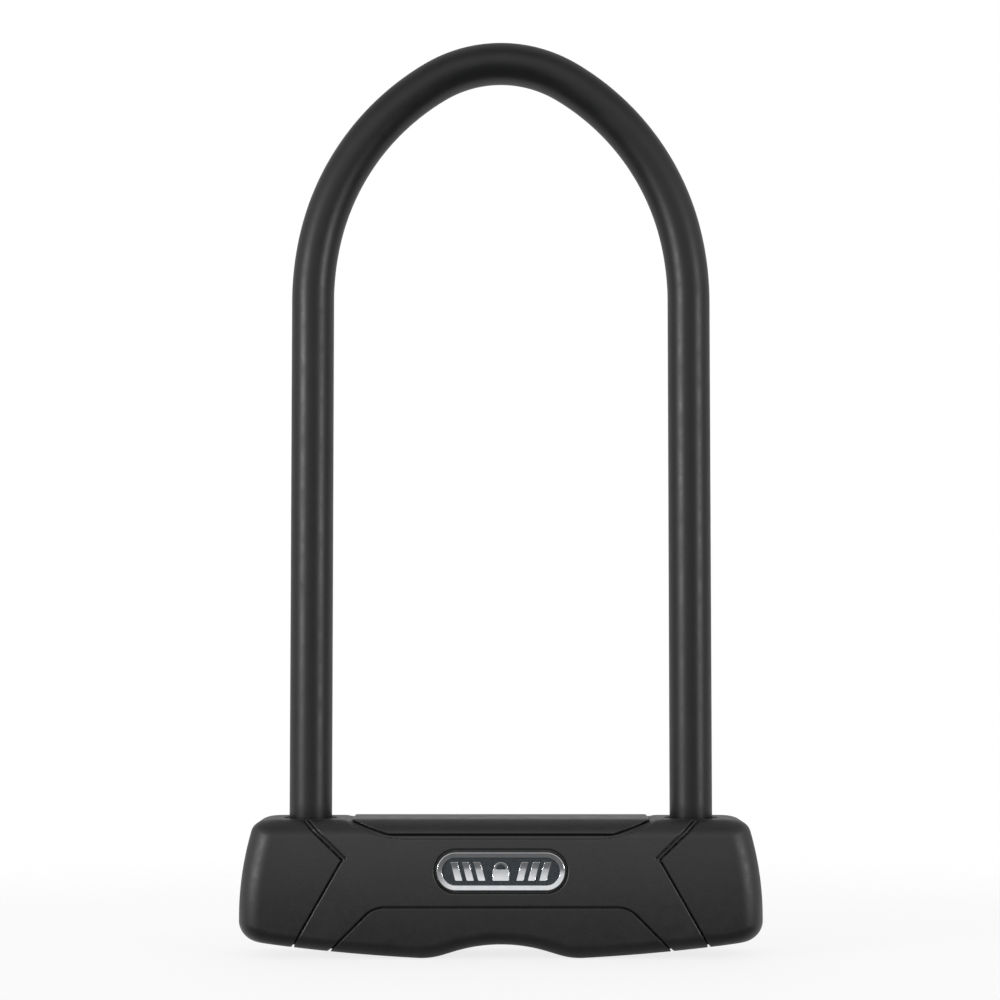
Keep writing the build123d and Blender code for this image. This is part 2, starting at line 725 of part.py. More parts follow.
def make_guard_plate():
    """The hardened face of the plug, with the keyway through it."""
    with BuildPart() as plate:
        with BuildSketch(Plane.XY.offset(GUARD_FACE_Z)):
            Circle(GUARD_R)
            Rectangle(*KEY_SLOT, mode=Mode.SUBTRACT)
        extrude(amount=PLUG_Z[0] - GUARD_FACE_Z)
    save(plate, "guard_plate")


def disc_low(place):
    """The height of the disc at this place in the stack."""
    return DISC_LOW_Z + place * (DISC_T + SPACER_T)


def make_discs():
    """The detainer discs, sidebar notches in line and key slots each at its own angle."""
    notch_w = SIDEBAR_W + 2 * SIDEBAR_FIT
    for place, angle in enumerate(DISC_ANGLES):
        with BuildPart() as disc:
            with BuildSketch(Plane.XY.offset(disc_low(place))):
                Circle(DISC_R)
                Rectangle(*KEY_SLOT, rotation=angle, mode=Mode.SUBTRACT)
                with Locations((0, SIDEBAR_R[0] - SIDEBAR_FIT)):
                    Rectangle(notch_w, DISC_R, align=(Align.CENTER, Align.MIN), mode=Mode.SUBTRACT)
            extrude(amount=DISC_T)
        save(disc, f"detainer_disc_{place + 1}")


def make_disc_spacers():
    """Thin washers between the discs."""
    notch_w = SIDEBAR_W + 2 * SIDEBAR_FIT
    with BuildPart() as spacers:
        for place in range(len(DISC_ANGLES) - 1):
            with BuildSketch(Plane.XY.offset(disc_low(place) + DISC_T)):
                Circle(DISC_R)
                Circle(SPACER_HOLE_R, mode=Mode.SUBTRACT)
                Rectangle(notch_w, DISC_R + 1, align=(Align.CENTER, Align.MIN), mode=Mode.SUBTRACT)
            extrude(amount=SPACER_T)
    save(spacers, "disc_spacers")


def make_sidebar():
    """The bar that drops into the discs' notches and lets the plug turn."""
    with BuildPart() as bar:
        with BuildSketch(Plane.XY.offset(SIDEBAR_Z[0])):
            with Locations((0, SIDEBAR_R[0])):
                size = SIDEBAR_R[1] - SIDEBAR_R[0]
                Rectangle(SIDEBAR_W, size, align=(Align.CENTER, Align.MIN))
        extrude(amount=SIDEBAR_Z[1] - SIDEBAR_Z[0])
    save(bar, "sidebar")


def make_plug_circlip():
    """The open ring that holds the plug down in its housing."""
    with BuildPart() as clip:
        with BuildSketch(Plane.XY.offset(CLIP_Z[0])):
            Circle(CLIP_R)
            Circle(CLIP_GROOVE_R, mode=Mode.SUBTRACT)
            with BuildLine():
                first = (2 * CLIP_R * sin(radians(-CLIP_GAP / 2)), 2 * CLIP_R)
                Polyline((0, 0), first, flipped(first), close=True)
            make_face(mode=Mode.SUBTRACT)
        extrude(amount=CLIP_Z[1] - CLIP_Z[0])
    save(clip, "plug_circlip")


# ================================================================ keyhole shutter
def make_shutter_track():
    """The steel plate that the shutter slides on, with a hole for the plug's face."""
    with BuildPart() as track:
        with BuildSketch(Plane.XY.offset(TRACK_LOW_Z)):
            with Locations((sum(TRACK_X) / 2, 0)):
                Rectangle(TRACK_X[1] - TRACK_X[0], TRACK_D)
            Circle(KEYHOLE_R, mode=Mode.SUBTRACT)
        extrude(amount=SLEEVE_BOTTOM_Z - TRACK_LOW_Z)
    save(track, "shutter_track")


def make_keyhole_shutter():
    """The sliding cover, with three ribs for a fingertip."""
    with BuildPart() as shutter:
        with BuildSketch(Plane.XY.offset(SHUTTER_Z[0])):
            with Locations((sum(SHUTTER_X) / 2, 0)):
                Rectangle(SHUTTER_X[1] - SHUTTER_X[0], SHUTTER_D)
        extrude(amount=SHUTTER_Z[1] - SHUTTER_Z[0])
        with BuildSketch(Plane.XY.offset(RIB_LOW_Z)):
            with Locations(*[(x, 0) for x in RIB_XS]):
                Rectangle(RIB_W, RIB_D)
        extrude(amount=SHUTTER_Z[0] - RIB_LOW_Z)
    save(shutter, "keyhole_shutter")


# ================================================================ everything
make_shackle_rod()
make_shackle_coating()
make_covers()
make_badge_bezel()
make_badge_plate()
make_badge_emblem()
make_steel_sleeve()
for side_name, side in SIDES.items():
    make_end_plug(f"{side_name}_end_plug", side)
    make_shackle_seal(f"{side_name}_shackle_seal", side)
    make_leg_buffer(f"{side_name}_leg_buffer", side)
    make_bolt(f"{side_name}_bolt", side)
    make_drive_pin(f"{side_name}_drive_pin", side)
core = case_core()
make_case_half(core, "case_front", Keep.TOP)
make_case_half(core, "case_back", Keep.BOTTOM)
make_case_screws()
make_case_dowels()
make_drive_cam()
make_cylinder_housing()
make_cylinder_pin()
make_cylinder_plug()
make_guard_plate()
make_discs()
make_disc_spacers()
make_sidebar()
make_plug_circlip()
make_shutter_track()
make_keyhole_shutter()
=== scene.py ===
import json
import math

import bpy
import numpy as np
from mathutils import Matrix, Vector


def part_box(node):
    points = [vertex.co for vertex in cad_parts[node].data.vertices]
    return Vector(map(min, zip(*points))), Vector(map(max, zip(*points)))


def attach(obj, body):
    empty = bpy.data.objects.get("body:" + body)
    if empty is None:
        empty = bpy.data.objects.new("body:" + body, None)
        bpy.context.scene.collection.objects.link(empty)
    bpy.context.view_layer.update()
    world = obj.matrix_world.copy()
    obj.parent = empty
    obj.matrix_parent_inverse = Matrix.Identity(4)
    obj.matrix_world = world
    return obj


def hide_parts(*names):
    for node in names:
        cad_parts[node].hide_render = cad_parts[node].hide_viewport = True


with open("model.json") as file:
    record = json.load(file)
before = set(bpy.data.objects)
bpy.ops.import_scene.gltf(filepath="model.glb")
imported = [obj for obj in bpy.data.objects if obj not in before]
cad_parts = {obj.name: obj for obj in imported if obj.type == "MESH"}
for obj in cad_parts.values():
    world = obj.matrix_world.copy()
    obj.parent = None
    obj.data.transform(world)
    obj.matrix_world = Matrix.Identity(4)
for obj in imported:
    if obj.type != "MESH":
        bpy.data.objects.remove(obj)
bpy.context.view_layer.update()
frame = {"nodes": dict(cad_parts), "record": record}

MM = 0.001


# ================================================================ sizes, all in millimetres
def box_mm(node):
    """A CAD node's lowest and highest corners."""
    low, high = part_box(node)
    return np.array(low) / MM, np.array(high) / MM


# the crossbar's outside
BODY_H = box_mm("top_strip")[1][2]
HALF_D = box_mm("centre_cover")[1][1]
HALF_L = box_mm("right_end_cap")[1][0]
END_R = 103.0  # the bulge of its ends
END_WIDE_Z = 12.4  # where they are widest
PLAN_ROUND = 7.5  # corners seen from above
TOP_ROUND = 5.6
TOP_END_ROUND = 3.7
SOLE_ROUND = 4.6
SOLE_END_ROUND = 5.6
END_ROUNDING = (70.0, 79.0)  # where the edge rounding grows from the one to the other
FRONT_CROWN = 1.8  # how far the front falls away at its top and bottom
COVER_DROP = 0.22  # the top strip stands this much above its neighbours
COVER_SINK = 0.12  # and this much in front of them
RECESS_H = 4.3  # the finger recess under the middle
RECESS_R = 50.0
WAVE = math.radians(17.0)  # slope between the recess and the lobes that the lock stands on
LOBE_R = 23.0
SOLE_START = math.radians(3.1)  # slope where a lobe goes over into the rising sole
SOLE_R = 600.0

# the seams of its covers, seen from the front
CHEVRON = ((63.0, 43.6), (49.9, 31.0), (65.3, 3.9))  # top, point and bottom, on the right
STRIP_SEAM = ((48.3, 43.6), (35.3, 38.9))
STRIP_CORNER_EASE = 0.3
GRIP_SEAM = ((52.9, 3.3), (40.0, 16.2))
GRIP_CORNER_EASE = 2.1
GAP_HALF = 0.3  # every seam is a gap this far to each side
GAP_DEPTH = 0.85
GAP_LIP = 0.2  # rounds its edges
GAP_FOOT = 0.15  # and the corner at its bottom
SEAM_GAP = 0.015  # what stays open to each side under it
LEDGE_DEPTH = 0.3  # how far under the outside a ledge in a gap lies
LEDGE_ROUND = 0.3
CENTRE_LIP = 0.35  # the centre cover's edges are rounder
POCKET_LIP = 0.45  # and those of the badge's pocket
STRIP_LEDGE = 1.0  # width of the centre cover's ledge under the strip
LEDGE_TOP_SHARE = 0.3  # what is left of that width at the top
LEDGE_TAPER = (2.4, 0.6)  # how far below the top it starts and stops narrowing
BEAD = (0.65, 0.5)  # widths of its bead along the end cap's upper edge, and of the slot beyond
BEAD_FADE = 1.0  # the bead grows over this height, up and down from the chevron's point

# what it is cut out for
SLEEVE_LOW, SLEEVE_HIGH = box_mm("steel_sleeve")
SLEEVE_ROUND = 5.0
SEAL_LOW, SEAL_HIGH = box_mm("right_shackle_seal")
LEG_X = round((SEAL_LOW[0] + SEAL_HIGH[0]) / 2, 1)
SEAL_R = round(SEAL_HIGH[0] - LEG_X, 1)
LEG_HOLE_LIP = 0.3  # rounds the edge of a leg's hole
BEZEL_LOW, BEZEL_HIGH = box_mm("badge_bezel")
BADGE_Z = (BEZEL_LOW[2] + BEZEL_HIGH[2]) / 2
POCKET_GAP = 0.85  # around the badge
WINDOW = (-8.5, 13.5, 8.0)  # over the shutter: low x, high x, half depth
WINDOW_R = 3.0
WINDOW_LIP = 0.5
TRACK_LOW, TRACK_HIGH = box_mm("shutter_track")
SHUTTER_LOW, SHUTTER_HIGH = box_mm("keyhole_shutter")
SHUTTER_ROOM_Z = 5.3  # the room that the shutter slides in starts here
SHUTTER_ROOM_R = 0.3


# ================================================================ distance fields
def rounded_max(a, b, r):
    """The overlap of two solids, with the edge between them rounded."""
    return np.minimum(np.maximum(a, b), -r) + np.hypot(np.maximum(a + r, 0), np.maximum(b + r, 0))


def rounded_min(a, b, r):
    """Two solids joined, with the corner between them filled."""
    return -rounded_max(-a, -b, r)


def left_of(p, q, x, z):
    """Signed distance from the line p to q, positive on its left."""
    dx, dz = q[0] - p[0], q[1] - p[1]
    return (dx * (z - p[1]) - dz * (x - p[0])) / math.hypot(dx, dz)


def rectangle(u, v, half_u, half_v, r):
    """Distance to a rounded rectangle around the origin."""
    du, dv = np.abs(u) - half_u + r, np.abs(v) - half_v + r
    return np.hypot(np.maximum(du, 0), np.maximum(dv, 0)) + np.minimum(np.maximum(du, dv), 0) - r


def stadium(u, v, length, height):
    """Distance to a stadium around the origin."""
    return np.hypot(np.maximum(np.abs(u) - (length - height) / 2, 0), v) - height / 2


def smooth_step(value, low, high):
    """From 0 at low to 1 at high, without a kink."""
    t = np.clip((value - low) / (high - low), 0, 1)
    return t * t * (3 - 2 * t)


def sole(ax, z):
    """Distance below the underside: recess, wave, lobe and sole, one after the other."""
    recess_foot = (RECESS_R * math.sin(WAVE), RECESS_H - RECESS_R * (1 - math.cos(WAVE)))
    lobe_rise = LOBE_R * (1 - math.cos(WAVE))
    wave_foot_x = recess_foot[0] + (recess_foot[1] - lobe_rise) / math.tan(WAVE)
    lobe_x = wave_foot_x + LOBE_R * math.sin(WAVE)
    flank = (lobe_x + LOBE_R * math.sin(SOLE_START), LOBE_R * (1 - math.cos(SOLE_START)))
    sole_mid = (flank[0] - SOLE_R * math.sin(SOLE_START), flank[1] + SOLE_R * math.cos(SOLE_START))
    recess = RECESS_R - np.hypot(ax, z - (RECESS_H - RECESS_R))
    wave = -((ax - recess_foot[0]) * math.sin(WAVE) + (z - recess_foot[1]) * math.cos(WAVE))
    lobe = np.hypot(ax - lobe_x, z - LOBE_R) - LOBE_R
    rest = np.hypot(ax - sole_mid[0], z - sole_mid[1]) - SOLE_R
    along_wave = (ax - recess_foot[0]) * math.cos(WAVE) - (z - recess_foot[1]) * math.sin(WAVE)
    wave_length = (wave_foot_x - recess_foot[0]) / math.cos(WAVE)
    along_sole = (ax - flank[0]) * math.cos(SOLE_START) + (z - flank[1]) * math.sin(SOLE_START)
    found = np.where(along_wave < 0, recess, wave)
    found = np.where(along_wave > wave_length, lobe, found)
    return np.where(along_sole > 0, rest, found)


def skin(x, y, z, drop, sink):
    """The crossbar's outside, its top lowered by drop and its front set back by sink."""
    ax = np.abs(x)
    grown = smooth_step(ax, *END_ROUNDING)
    top_r = TOP_ROUND + (TOP_END_ROUND - TOP_ROUND) * grown
    sole_r = SOLE_ROUND + (SOLE_END_ROUND - SOLE_ROUND) * grown
    fall = FRONT_CROWN * (z / BODY_H * 2 - 1) ** 2
    flat = np.maximum(y - HALF_D, -y - HALF_D + fall + sink)
    end = np.hypot(ax - HALF_L + END_R, z - END_WIDE_Z) - END_R
    around = rounded_max(flat, end, PLAN_ROUND)
    topped = rounded_max(around, z - BODY_H + drop, top_r)
    return rounded_max(topped, sole(ax, z), sole_r)


def cap_side(x, z):
    """Distance outside the region of the right end cap."""
    top, point, bottom = CHEVRON
    return np.maximum(left_of(point, top, x, z), -left_of(point, bottom, x, z))


def strip_side(ax, z):
    """Distance outside the region of the top strip."""
    end, corner = STRIP_SEAM
    return rounded_max(corner[1] - z, -left_of(corner, end, ax, z), STRIP_CORNER_EASE)


def grip_side(ax, z):
    """Distance outside the region of the bottom grip."""
    end, corner = GRIP_SEAM
    return rounded_max(z - corner[1], left_of(corner, end, ax, z), GRIP_CORNER_EASE)


def centre_side(ax, z):
    """Distance outside the region of the centre cover."""
    return -np.minimum(np.minimum(cap_side(ax, z), strip_side(ax, z)), grip_side(ax, z))


def hollow(x, y, z):
    """The room for the steel sleeve."""
    middle, half = (SLEEVE_LOW + SLEEVE_HIGH) / 2, (SLEEVE_HIGH - SLEEVE_LOW) / 2
    across = rectangle(y, z - middle[2], half[1], half[2], SLEEVE_ROUND)
    return np.maximum(across, np.abs(x) - half[0])


def cover(x, y, z, side, outside=None, raised_side=None, ledge_side=None, lip=GAP_LIP):
    """One cover: its share of the skin, with half a gap along each seam, hollow and drilled."""
    outside = skin(x, y, z, COVER_DROP, COVER_SINK) if outside is None else outside
    raised_side = side + GAP_HALF if raised_side is None else raised_side
    solid = rounded_max(outside, raised_side, lip)
    if ledge_side is not None:
        solid = np.minimum(solid, rounded_max(outside + LEDGE_DEPTH, ledge_side, LEDGE_ROUND))
    solid = rounded_min(solid, np.maximum(outside + GAP_DEPTH, side + SEAM_GAP), GAP_FOOT)
    solid = np.maximum(np.maximum(solid, side + SEAM_GAP), -hollow(x, y, z))
    hole = np.maximum(np.hypot(np.abs(x) - LEG_X, y) - SEAL_R, BODY_H / 2 - z)
    return rounded_max(solid, -hole, LEG_HOLE_LIP)


def centre_cover(x, y, z):
    """It alone has a ledge under the strip, and a bead and a slot along the end caps' upper edges."""
    ax = np.abs(x)
    side = centre_side(ax, z)
    point_z = CHEVRON[1][1]
    upper = smooth_step(z, point_z - BEAD_FADE, point_z + BEAD_FADE)
    bead, slot = BEAD
    narrowed = smooth_step(z, BODY_H - LEDGE_TAPER[0], BODY_H - LEDGE_TAPER[1])
    ledge = STRIP_LEDGE * (1 - (1 - LEDGE_TOP_SHARE) * narrowed)
    edge = side + GAP_HALF
    from_cap, from_strip = GAP_HALF - cap_side(ax, z), GAP_HALF - strip_side(ax, z)
    raised = np.maximum(edge, np.maximum(from_cap + upper * (bead + slot), from_strip + ledge))
    slotted = slot / 2 - np.abs(from_cap + bead + slot / 2) - slot * (1 - upper)
    solid = cover(x, y, z, side, None, raised, np.maximum(edge, slotted), CENTRE_LIP)
    length, height = (BEZEL_HIGH - BEZEL_LOW)[[0, 2]] + 2 * POCKET_GAP
    pocket = np.maximum(stadium(x, z - BADGE_Z, length, height), y - BEZEL_HIGH[1])
    return rounded_max(solid, -pocket, POCKET_LIP)


def right_end_cap(x, y, z):
    return cover(x, y, z, cap_side(x, z))


def left_end_cap(x, y, z):
    return cover(x, y, z, cap_side(-x, z))


def top_strip(x, y, z):
    """Proud of its neighbours, above and in front."""
    return cover(x, y, z, strip_side(np.abs(x), z), skin(x, y, z, 0.0, 0.0))


def bottom_grip(x, y, z):
    """It has the window and the room for the shutter."""
    solid = cover(x, y, z, grip_side(np.abs(x), z))
    low_x, high_x, half_d = WINDOW
    around = rectangle(x - (low_x + high_x) / 2, y, (high_x - low_x) / 2, half_d, WINDOW_R)
    solid = rounded_max(solid, -np.maximum(around, z - SHUTTER_HIGH[2]), WINDOW_LIP)
    middle, half = (TRACK_LOW + TRACK_HIGH) / 2, (TRACK_HIGH - TRACK_LOW) / 2
    room = rectangle(x - middle[0], y, half[0], half[1], SHUTTER_ROOM_R)
    return np.maximum(solid, -np.maximum(room, SHUTTER_ROOM_Z - z))


# ---------------------------------------------------------------- badge
BEZEL_RIM = 1.7
BEZEL_SLOPE = 0.2  # the ring leans in towards the plate
BEZEL_EDGE = 0.28
EMBLEM_LOW, EMBLEM_HIGH = box_mm("badge_emblem")
EMBLEM_DISH_R = 14.0
EMBLEM_DISH_Z = 0.8  # the dish's deepest line, above the badge's middle
EMBLEM_EDGE = 0.14
BAR_COUNT = 3
BAR_FIRST_X = 6.75
BAR_PITCH = 3.6
BAR_HALF_W = 1.1
BAR_LEAN = 0.28
BAR_CORNER_R = 0.3
LOCK_BODY = (2.6, 1.8, 0.35)  # half width, half height, corner radius
LOCK_LOOP = (1.9, 0.4)  # radius, half thickness


def badge_bezel(x, y, z):
    """A ring around the plate, with rounded edges."""
    length, height = (BEZEL_HIGH - BEZEL_LOW)[[0, 2]]
    outer = stadium(x, z - BADGE_Z, length, height)
    front = (-y + BEZEL_LOW[1] - BEZEL_SLOPE * outer) / math.hypot(1, BEZEL_SLOPE)
    front = rounded_max(front, outer, BEZEL_EDGE)
    ring = rounded_max(front, -outer - BEZEL_RIM, BEZEL_EDGE / 2)
    return np.maximum(ring, y - BEZEL_HIGH[1])


def badge_emblem(x, y, z):
    """A padlock with three slanted bars on each side, all dished along the badge."""
    half_h = (EMBLEM_HIGH[2] - EMBLEM_LOW[2]) / 2
    v = z - BADGE_Z
    body_w, body_h, corner = LOCK_BODY
    loop_r, loop_w = LOCK_LOOP
    shape = rectangle(x, v + half_h - body_h, body_w, body_h, corner)
    loop = np.abs(np.hypot(x, v + half_h - 2 * body_h) - loop_r) - loop_w
    shape = np.minimum(shape, np.maximum(loop, body_h - v - half_h))
    for place in range(BAR_COUNT):
        u = np.abs(x) - BAR_FIRST_X - BAR_PITCH * place - v * BAR_LEAN
        bar = rectangle(u / math.hypot(1, BAR_LEAN), v, BAR_HALF_W, half_h, BAR_CORNER_R)
        shape = np.minimum(shape, bar)
    lean = (v - EMBLEM_DISH_Z) / EMBLEM_DISH_R
    rim = (half_h + EMBLEM_DISH_Z) ** 2 / (2 * EMBLEM_DISH_R)
    face = -y + EMBLEM_LOW[1] + rim - lean * lean * EMBLEM_DISH_R / 2
    face = face / np.sqrt(1 + lean * lean)
    return np.maximum(rounded_max(face, shape, EMBLEM_EDGE), y - EMBLEM_HIGH[1])


# ---------------------------------------------------------------- shutter
RIB_XS = (-7.4, -6.0, -4.6)
RIB_W = 0.7
RIB_D = 11.0
RIB_EDGE = 0.3
RIB_FOOT = 0.2
RIB_SINK = 0.3  # how far a rib goes on into the plate
PLATE_LOW = SHUTTER_ROOM_Z + 0.1
PLATE_R = 1.0
PLATE_EDGE = 0.25


def keyhole_shutter(x, y, z):
    """A sliding plate with ribs for a fingertip under one end."""
    middle, half = (SHUTTER_LOW + SHUTTER_HIGH) / 2, (SHUTTER_HIGH - SHUTTER_LOW) / 2
    middle_z, half_h = (PLATE_LOW + SHUTTER_HIGH[2]) / 2, (SHUTTER_HIGH[2] - PLATE_LOW) / 2
    sheet = rectangle(x - middle[0], y, half[0], half[1], PLATE_R)
    plate = rounded_max(sheet, np.abs(z - middle_z) - half_h, PLATE_EDGE)
    for rib_x in RIB_XS:
        across = np.hypot(np.maximum(np.abs(y) - RIB_D / 2 + RIB_W / 2, 0), x - rib_x) - RIB_W / 2
        rib = rounded_max(across, SHUTTER_LOW[2] - z, RIB_EDGE)
        plate = rounded_min(plate, np.maximum(rib, z - PLATE_LOW - RIB_SINK), RIB_FOOT)
    return plate


# ================================================================ meshing
COVER_STEP = 0.24
BADGE_STEP = 0.09
SHUTTER_STEP = 0.15
COVER_ROOM = 0.7  # a cover's grid goes on this far beyond the crossbar
SMALL_ROOM = 2.2  # in steps: how far a small piece's grid goes on beyond its box
GRID_SHIFT = 0.137  # in steps: keeps grid lines off a piece's flat faces
DEPTH_SHIFT = 0.0173  # in millimetres, for the same reason
COARSE_DEPTH = 11.6  # the lines are wider apart up to this far from the middle
SLAB = 24  # grid layers worked out at a time
LEAST_SLOPE = 0.3  # a field flatter than this is stepped as if it sloped this much
ON_FACE = 0.02  # in steps: a point this near the surface is already on it
HOLD = 0.08  # how firmly a point keeps to the middle of its crossings
EDGE_REACH = 0.7  # in steps: how far a point may move to find an edge
EDGE_HIGHLIGHT_CURVATURE = (0.25, 3.0)  # the curvature where the painted edge highlight starts and where it is full, per millimetre
FACES_KEPT = 0.35  # share of its faces that thinning keeps
CORNERS = [(a, b, c) for a in (0, 1) for b in (0, 1) for c in (0, 1)]  # of a grid cell


def grid_lines(low, high, step):
    count = int(math.ceil((high - low) / step)) + 1
    return low + (np.arange(count) + GRID_SHIFT) * (high - low) / count


def depth_lines(fine, coarse):
    """Lines across the crossbar: close together near its front and back, wider between."""
    outer = np.arange(COARSE_DEPTH, HALF_D + 1.5 * fine, fine)
    inner = np.arange(-COARSE_DEPTH + coarse, COARSE_DEPTH - coarse / 2, coarse)
    return np.concatenate([-outer[::-1], inner, outer]) + DEPTH_SHIFT


def gradient(field, p, h=0.01):
    """Unit slope of a field at each point, and its length."""
    out = np.empty_like(p)
    for axis in range(3):
        a, b = p.copy(), p.copy()
        a[:, axis] += h
        b[:, axis] -= h
        out[:, axis] = (field(*a.T) - field(*b.T)) / (2 * h)
    length = np.linalg.norm(out, axis=1, keepdims=True)
    return out / np.maximum(length, 1e-9), length


def curvature(field, p, h=0.15):
    """How sharply a field's surface curves outwards at each point, per millimetre."""
    total = -6 * field(*p.T)
    for axis in range(3):
        for way in (-h, h):
            q = p.copy()
            q[:, axis] += way
            total = total + field(*q.T)
    return total / (h * h)


def settle(field, p, reach, rounds=3):
    """Moves points onto the field's surface."""
    start = p.copy()
    for _ in range(rounds):
        slope, length = gradient(field, p)
        step = field(*p.T)[:, None] / np.maximum(length, LEAST_SLOPE) * slope
        p = start + np.clip(p - step - start, -reach, reach)
    return p


def sharpened(field, points, crossings, step):
    """Moves the points of the cells that hold an edge to where the planes around it meet."""
    flat = np.abs(field(*points.T)) < ON_FACE * step
    squares, pulls = np.zeros((len(points), 3, 3)), np.zeros((len(points), 3))
    squares += HOLD * np.eye(3)
    for which, mid in crossings:
        mid = mid[~flat[which]]
        which = which[~flat[which]]
        slope, _ = gradient(field, mid)
        squares[which] += slope[:, :, None] * slope[:, None, :]
        pulls[which] += slope * np.sum(slope * (mid - points[which]), axis=1, keepdims=True)
    move = np.linalg.solve(squares, pulls[:, :, None])[:, :, 0]
    return points + np.clip(move, -EDGE_REACH * step, EDGE_REACH * step)


def cell_points(field, lines, values, cells):
    """A point in each cell: the middle of its edges' crossings with the surface, then sharpened."""
    at = {o: values[tuple((cells + o).T)].astype(float) for o in CORNERS}
    where = {o: np.stack([lines[k][cells[:, k] + o[k]] for k in range(3)], axis=1) for o in CORNERS}
    total, count = np.zeros((len(cells), 3)), np.zeros((len(cells), 1))
    crossings = []
    for o in CORNERS:
        for k in range(3):
            if o[k]:
                continue
            e = tuple(o[j] + (j == k) for j in range(3))
            crossed = (at[o] < 0) != (at[e] < 0)
            t = at[o] / np.where(crossed, at[o] - at[e], 1.0)
            mid = where[o] + t[:, None] * (where[e] - where[o])
            total[crossed] += mid[crossed]
            count[crossed] += 1
            crossings.append((np.flatnonzero(crossed), mid[crossed]))
    return sharpened(field, total / count, crossings, lines[0][1] - lines[0][0])


def cell_quads(inside, index):
    """A quad around each grid edge that crosses the surface, between the four cells that share it."""
    quads = []
    for k in range(3):
        low = [slice(1, n - 1) for n in inside.shape]
        high = list(low)
        low[k], high[k] = slice(0, inside.shape[k] - 1), slice(1, inside.shape[k])
        a, b = inside[tuple(low)], inside[tuple(high)]
        j, m = (k + 1) % 3, (k + 2) % 3
        base = np.argwhere(a != b)
        first = a[tuple(base.T)]
        base[:, j] += 1
        base[:, m] += 1
        ring = []
        for dj, dm in ((-1, -1), (0, -1), (0, 0), (-1, 0)):
            cell = base.copy()
            cell[:, j] += dj
            cell[:, m] += dm
            ring.append(index[tuple(cell.T)])
        ring = np.stack(ring, axis=1)
        quads.append(np.where(first[:, None], ring, ring[:, ::-1]))
    return np.concatenate(quads)


def surface_net(field, lines):
    """Points and quads of a field's zero surface, one point in each grid cell that it crosses."""
    xs, ys, zs = lines
    values = np.empty((len(xs), len(ys), len(zs)), np.float32)
    for i in range(0, len(xs), SLAB):
        values[i : i + SLAB] = field(xs[i : i + SLAB, None, None], ys[None, :, None], zs[None, None, :])
    inside = values < 0
    shape = tuple(n - 1 for n in values.shape)
    total = np.zeros(shape, np.uint8)
    for a, b, c in CORNERS:
        total += inside[a : a + shape[0], b : b + shape[1], c : c + shape[2]]
    cells = np.argwhere((total > 0) & (total < len(CORNERS)))
    index = np.full(shape, -1, np.int32)
    index[tuple(cells.T)] = np.arange(len(cells))
    return cell_points(field, lines, values, cells), cell_quads(inside, index)


def mesh_from(name, points, faces):
    """A mesh from points in millimetres."""
    mesh = bpy.data.meshes.new(name)
    mesh.from_pydata((np.asarray(points) * MM).tolist(), [], np.asarray(faces).tolist())
    mesh.update()
    return mesh


def points_of(mesh):
    flat = np.empty(len(mesh.vertices) * 3)
    mesh.vertices.foreach_get("co", flat)
    return flat.reshape(-1, 3) / MM


def thinned(mesh, share):
    """The mesh with only that share of its faces, kept where it curves."""
    carrier = bpy.data.objects.new("carrier", mesh)
    bpy.context.scene.collection.objects.link(carrier)
    thin = carrier.modifiers.new("thin", "DECIMATE")
    thin.ratio = share
    done = bpy.data.meshes.new_from_object(carrier.evaluated_get(bpy.context.evaluated_depsgraph_get()))
    bpy.data.objects.remove(carrier)
    return done


def store_edge_highlight(mesh, sharpness):
    """Stores where a lighter tone is painted on the sharpest outer edges as a highlight: 1 there, 0
    elsewhere.
    """
    edge_highlight = mesh.attributes.new("edge_highlight", "FLOAT", "POINT")
    edge_highlight.data.foreach_set("value", smooth_step(sharpness, *EDGE_HIGHLIGHT_CURVATURE).astype(np.float32))


def carved(name, field, lines, body="crossbar"):
    """A piece meshed from its distance field, with the field's own slope as its shading."""
    step = lines[0][1] - lines[0][0]
    points, quads = surface_net(field, lines)
    points = settle(field, points, step)
    mesh = thinned(mesh_from(name, points, quads), FACES_KEPT)
    points = settle(field, points_of(mesh), 0.5 * step)
    mesh.vertices.foreach_set("co", (points * MM).ravel())
    # marks the sharp edges that the plastics' colour lightens as a painted highlight
    store_edge_highlight(mesh, curvature(field, points))
    mesh.polygons.foreach_set("use_smooth", np.ones(len(mesh.polygons), bool))
    slope, _ = gradient(field, points)
    mesh.normals_split_custom_set_from_vertices(slope.tolist())
    mesh.update()
    return placed(name, mesh, body)


def placed(name, mesh, body):
    """A finished piece that rides on its body in place of its CAD node."""
    piece = bpy.data.objects.new(name + "_look", mesh)
    bpy.context.scene.collection.objects.link(piece)
    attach(piece, body)
    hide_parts(name)
    return piece


def cover_lines(low_x, high_x, low_z, high_z):
    """Grid lines for a cover, over the whole depth of the crossbar."""
    across = grid_lines(low_x, high_x, COVER_STEP)
    return across, depth_lines(COVER_STEP, 2 * COVER_STEP), grid_lines(low_z, high_z, COVER_STEP)


def lines_round(low, high, step):
    """Grid lines around a small piece."""
    room = SMALL_ROOM * step
    return tuple(grid_lines(a - room, b + room, step) for a, b in zip(low, high))


# ---------------------------------------------------------------- tubes and rings
SHACKLE_BENDS = ((93.0, 13.3), (80.5, 45.8))  # radius and degrees of a side's first two arcs
STRAIGHT_TOP_Z = 209.5
COATING_LOW, COATING_HIGH = box_mm("shackle_coating")
COATING_R = round(COATING_HIGH[0] - LEG_X, 1)
COATING_BORE_R = 6.02
COATING_LIP = 0.35
COATING_LIP_TURNS = (0, 0.5, 1.0)  # radians round the lip
COATING_SIDES = 96
LEG_STEP = 6.0
ARC_STEP = 1.0
SEAL_CLEAR = (0.12, 0.05)  # between the seal and the leg, and the seal and its hole
SEAL_LIP_R = 0.42
SEAL_FLANGE_DROP = 0.55  # the flange's face is this far under the lip's top
SEAL_EASE = 0.3  # rounds the flange's edge and the corner under the lip


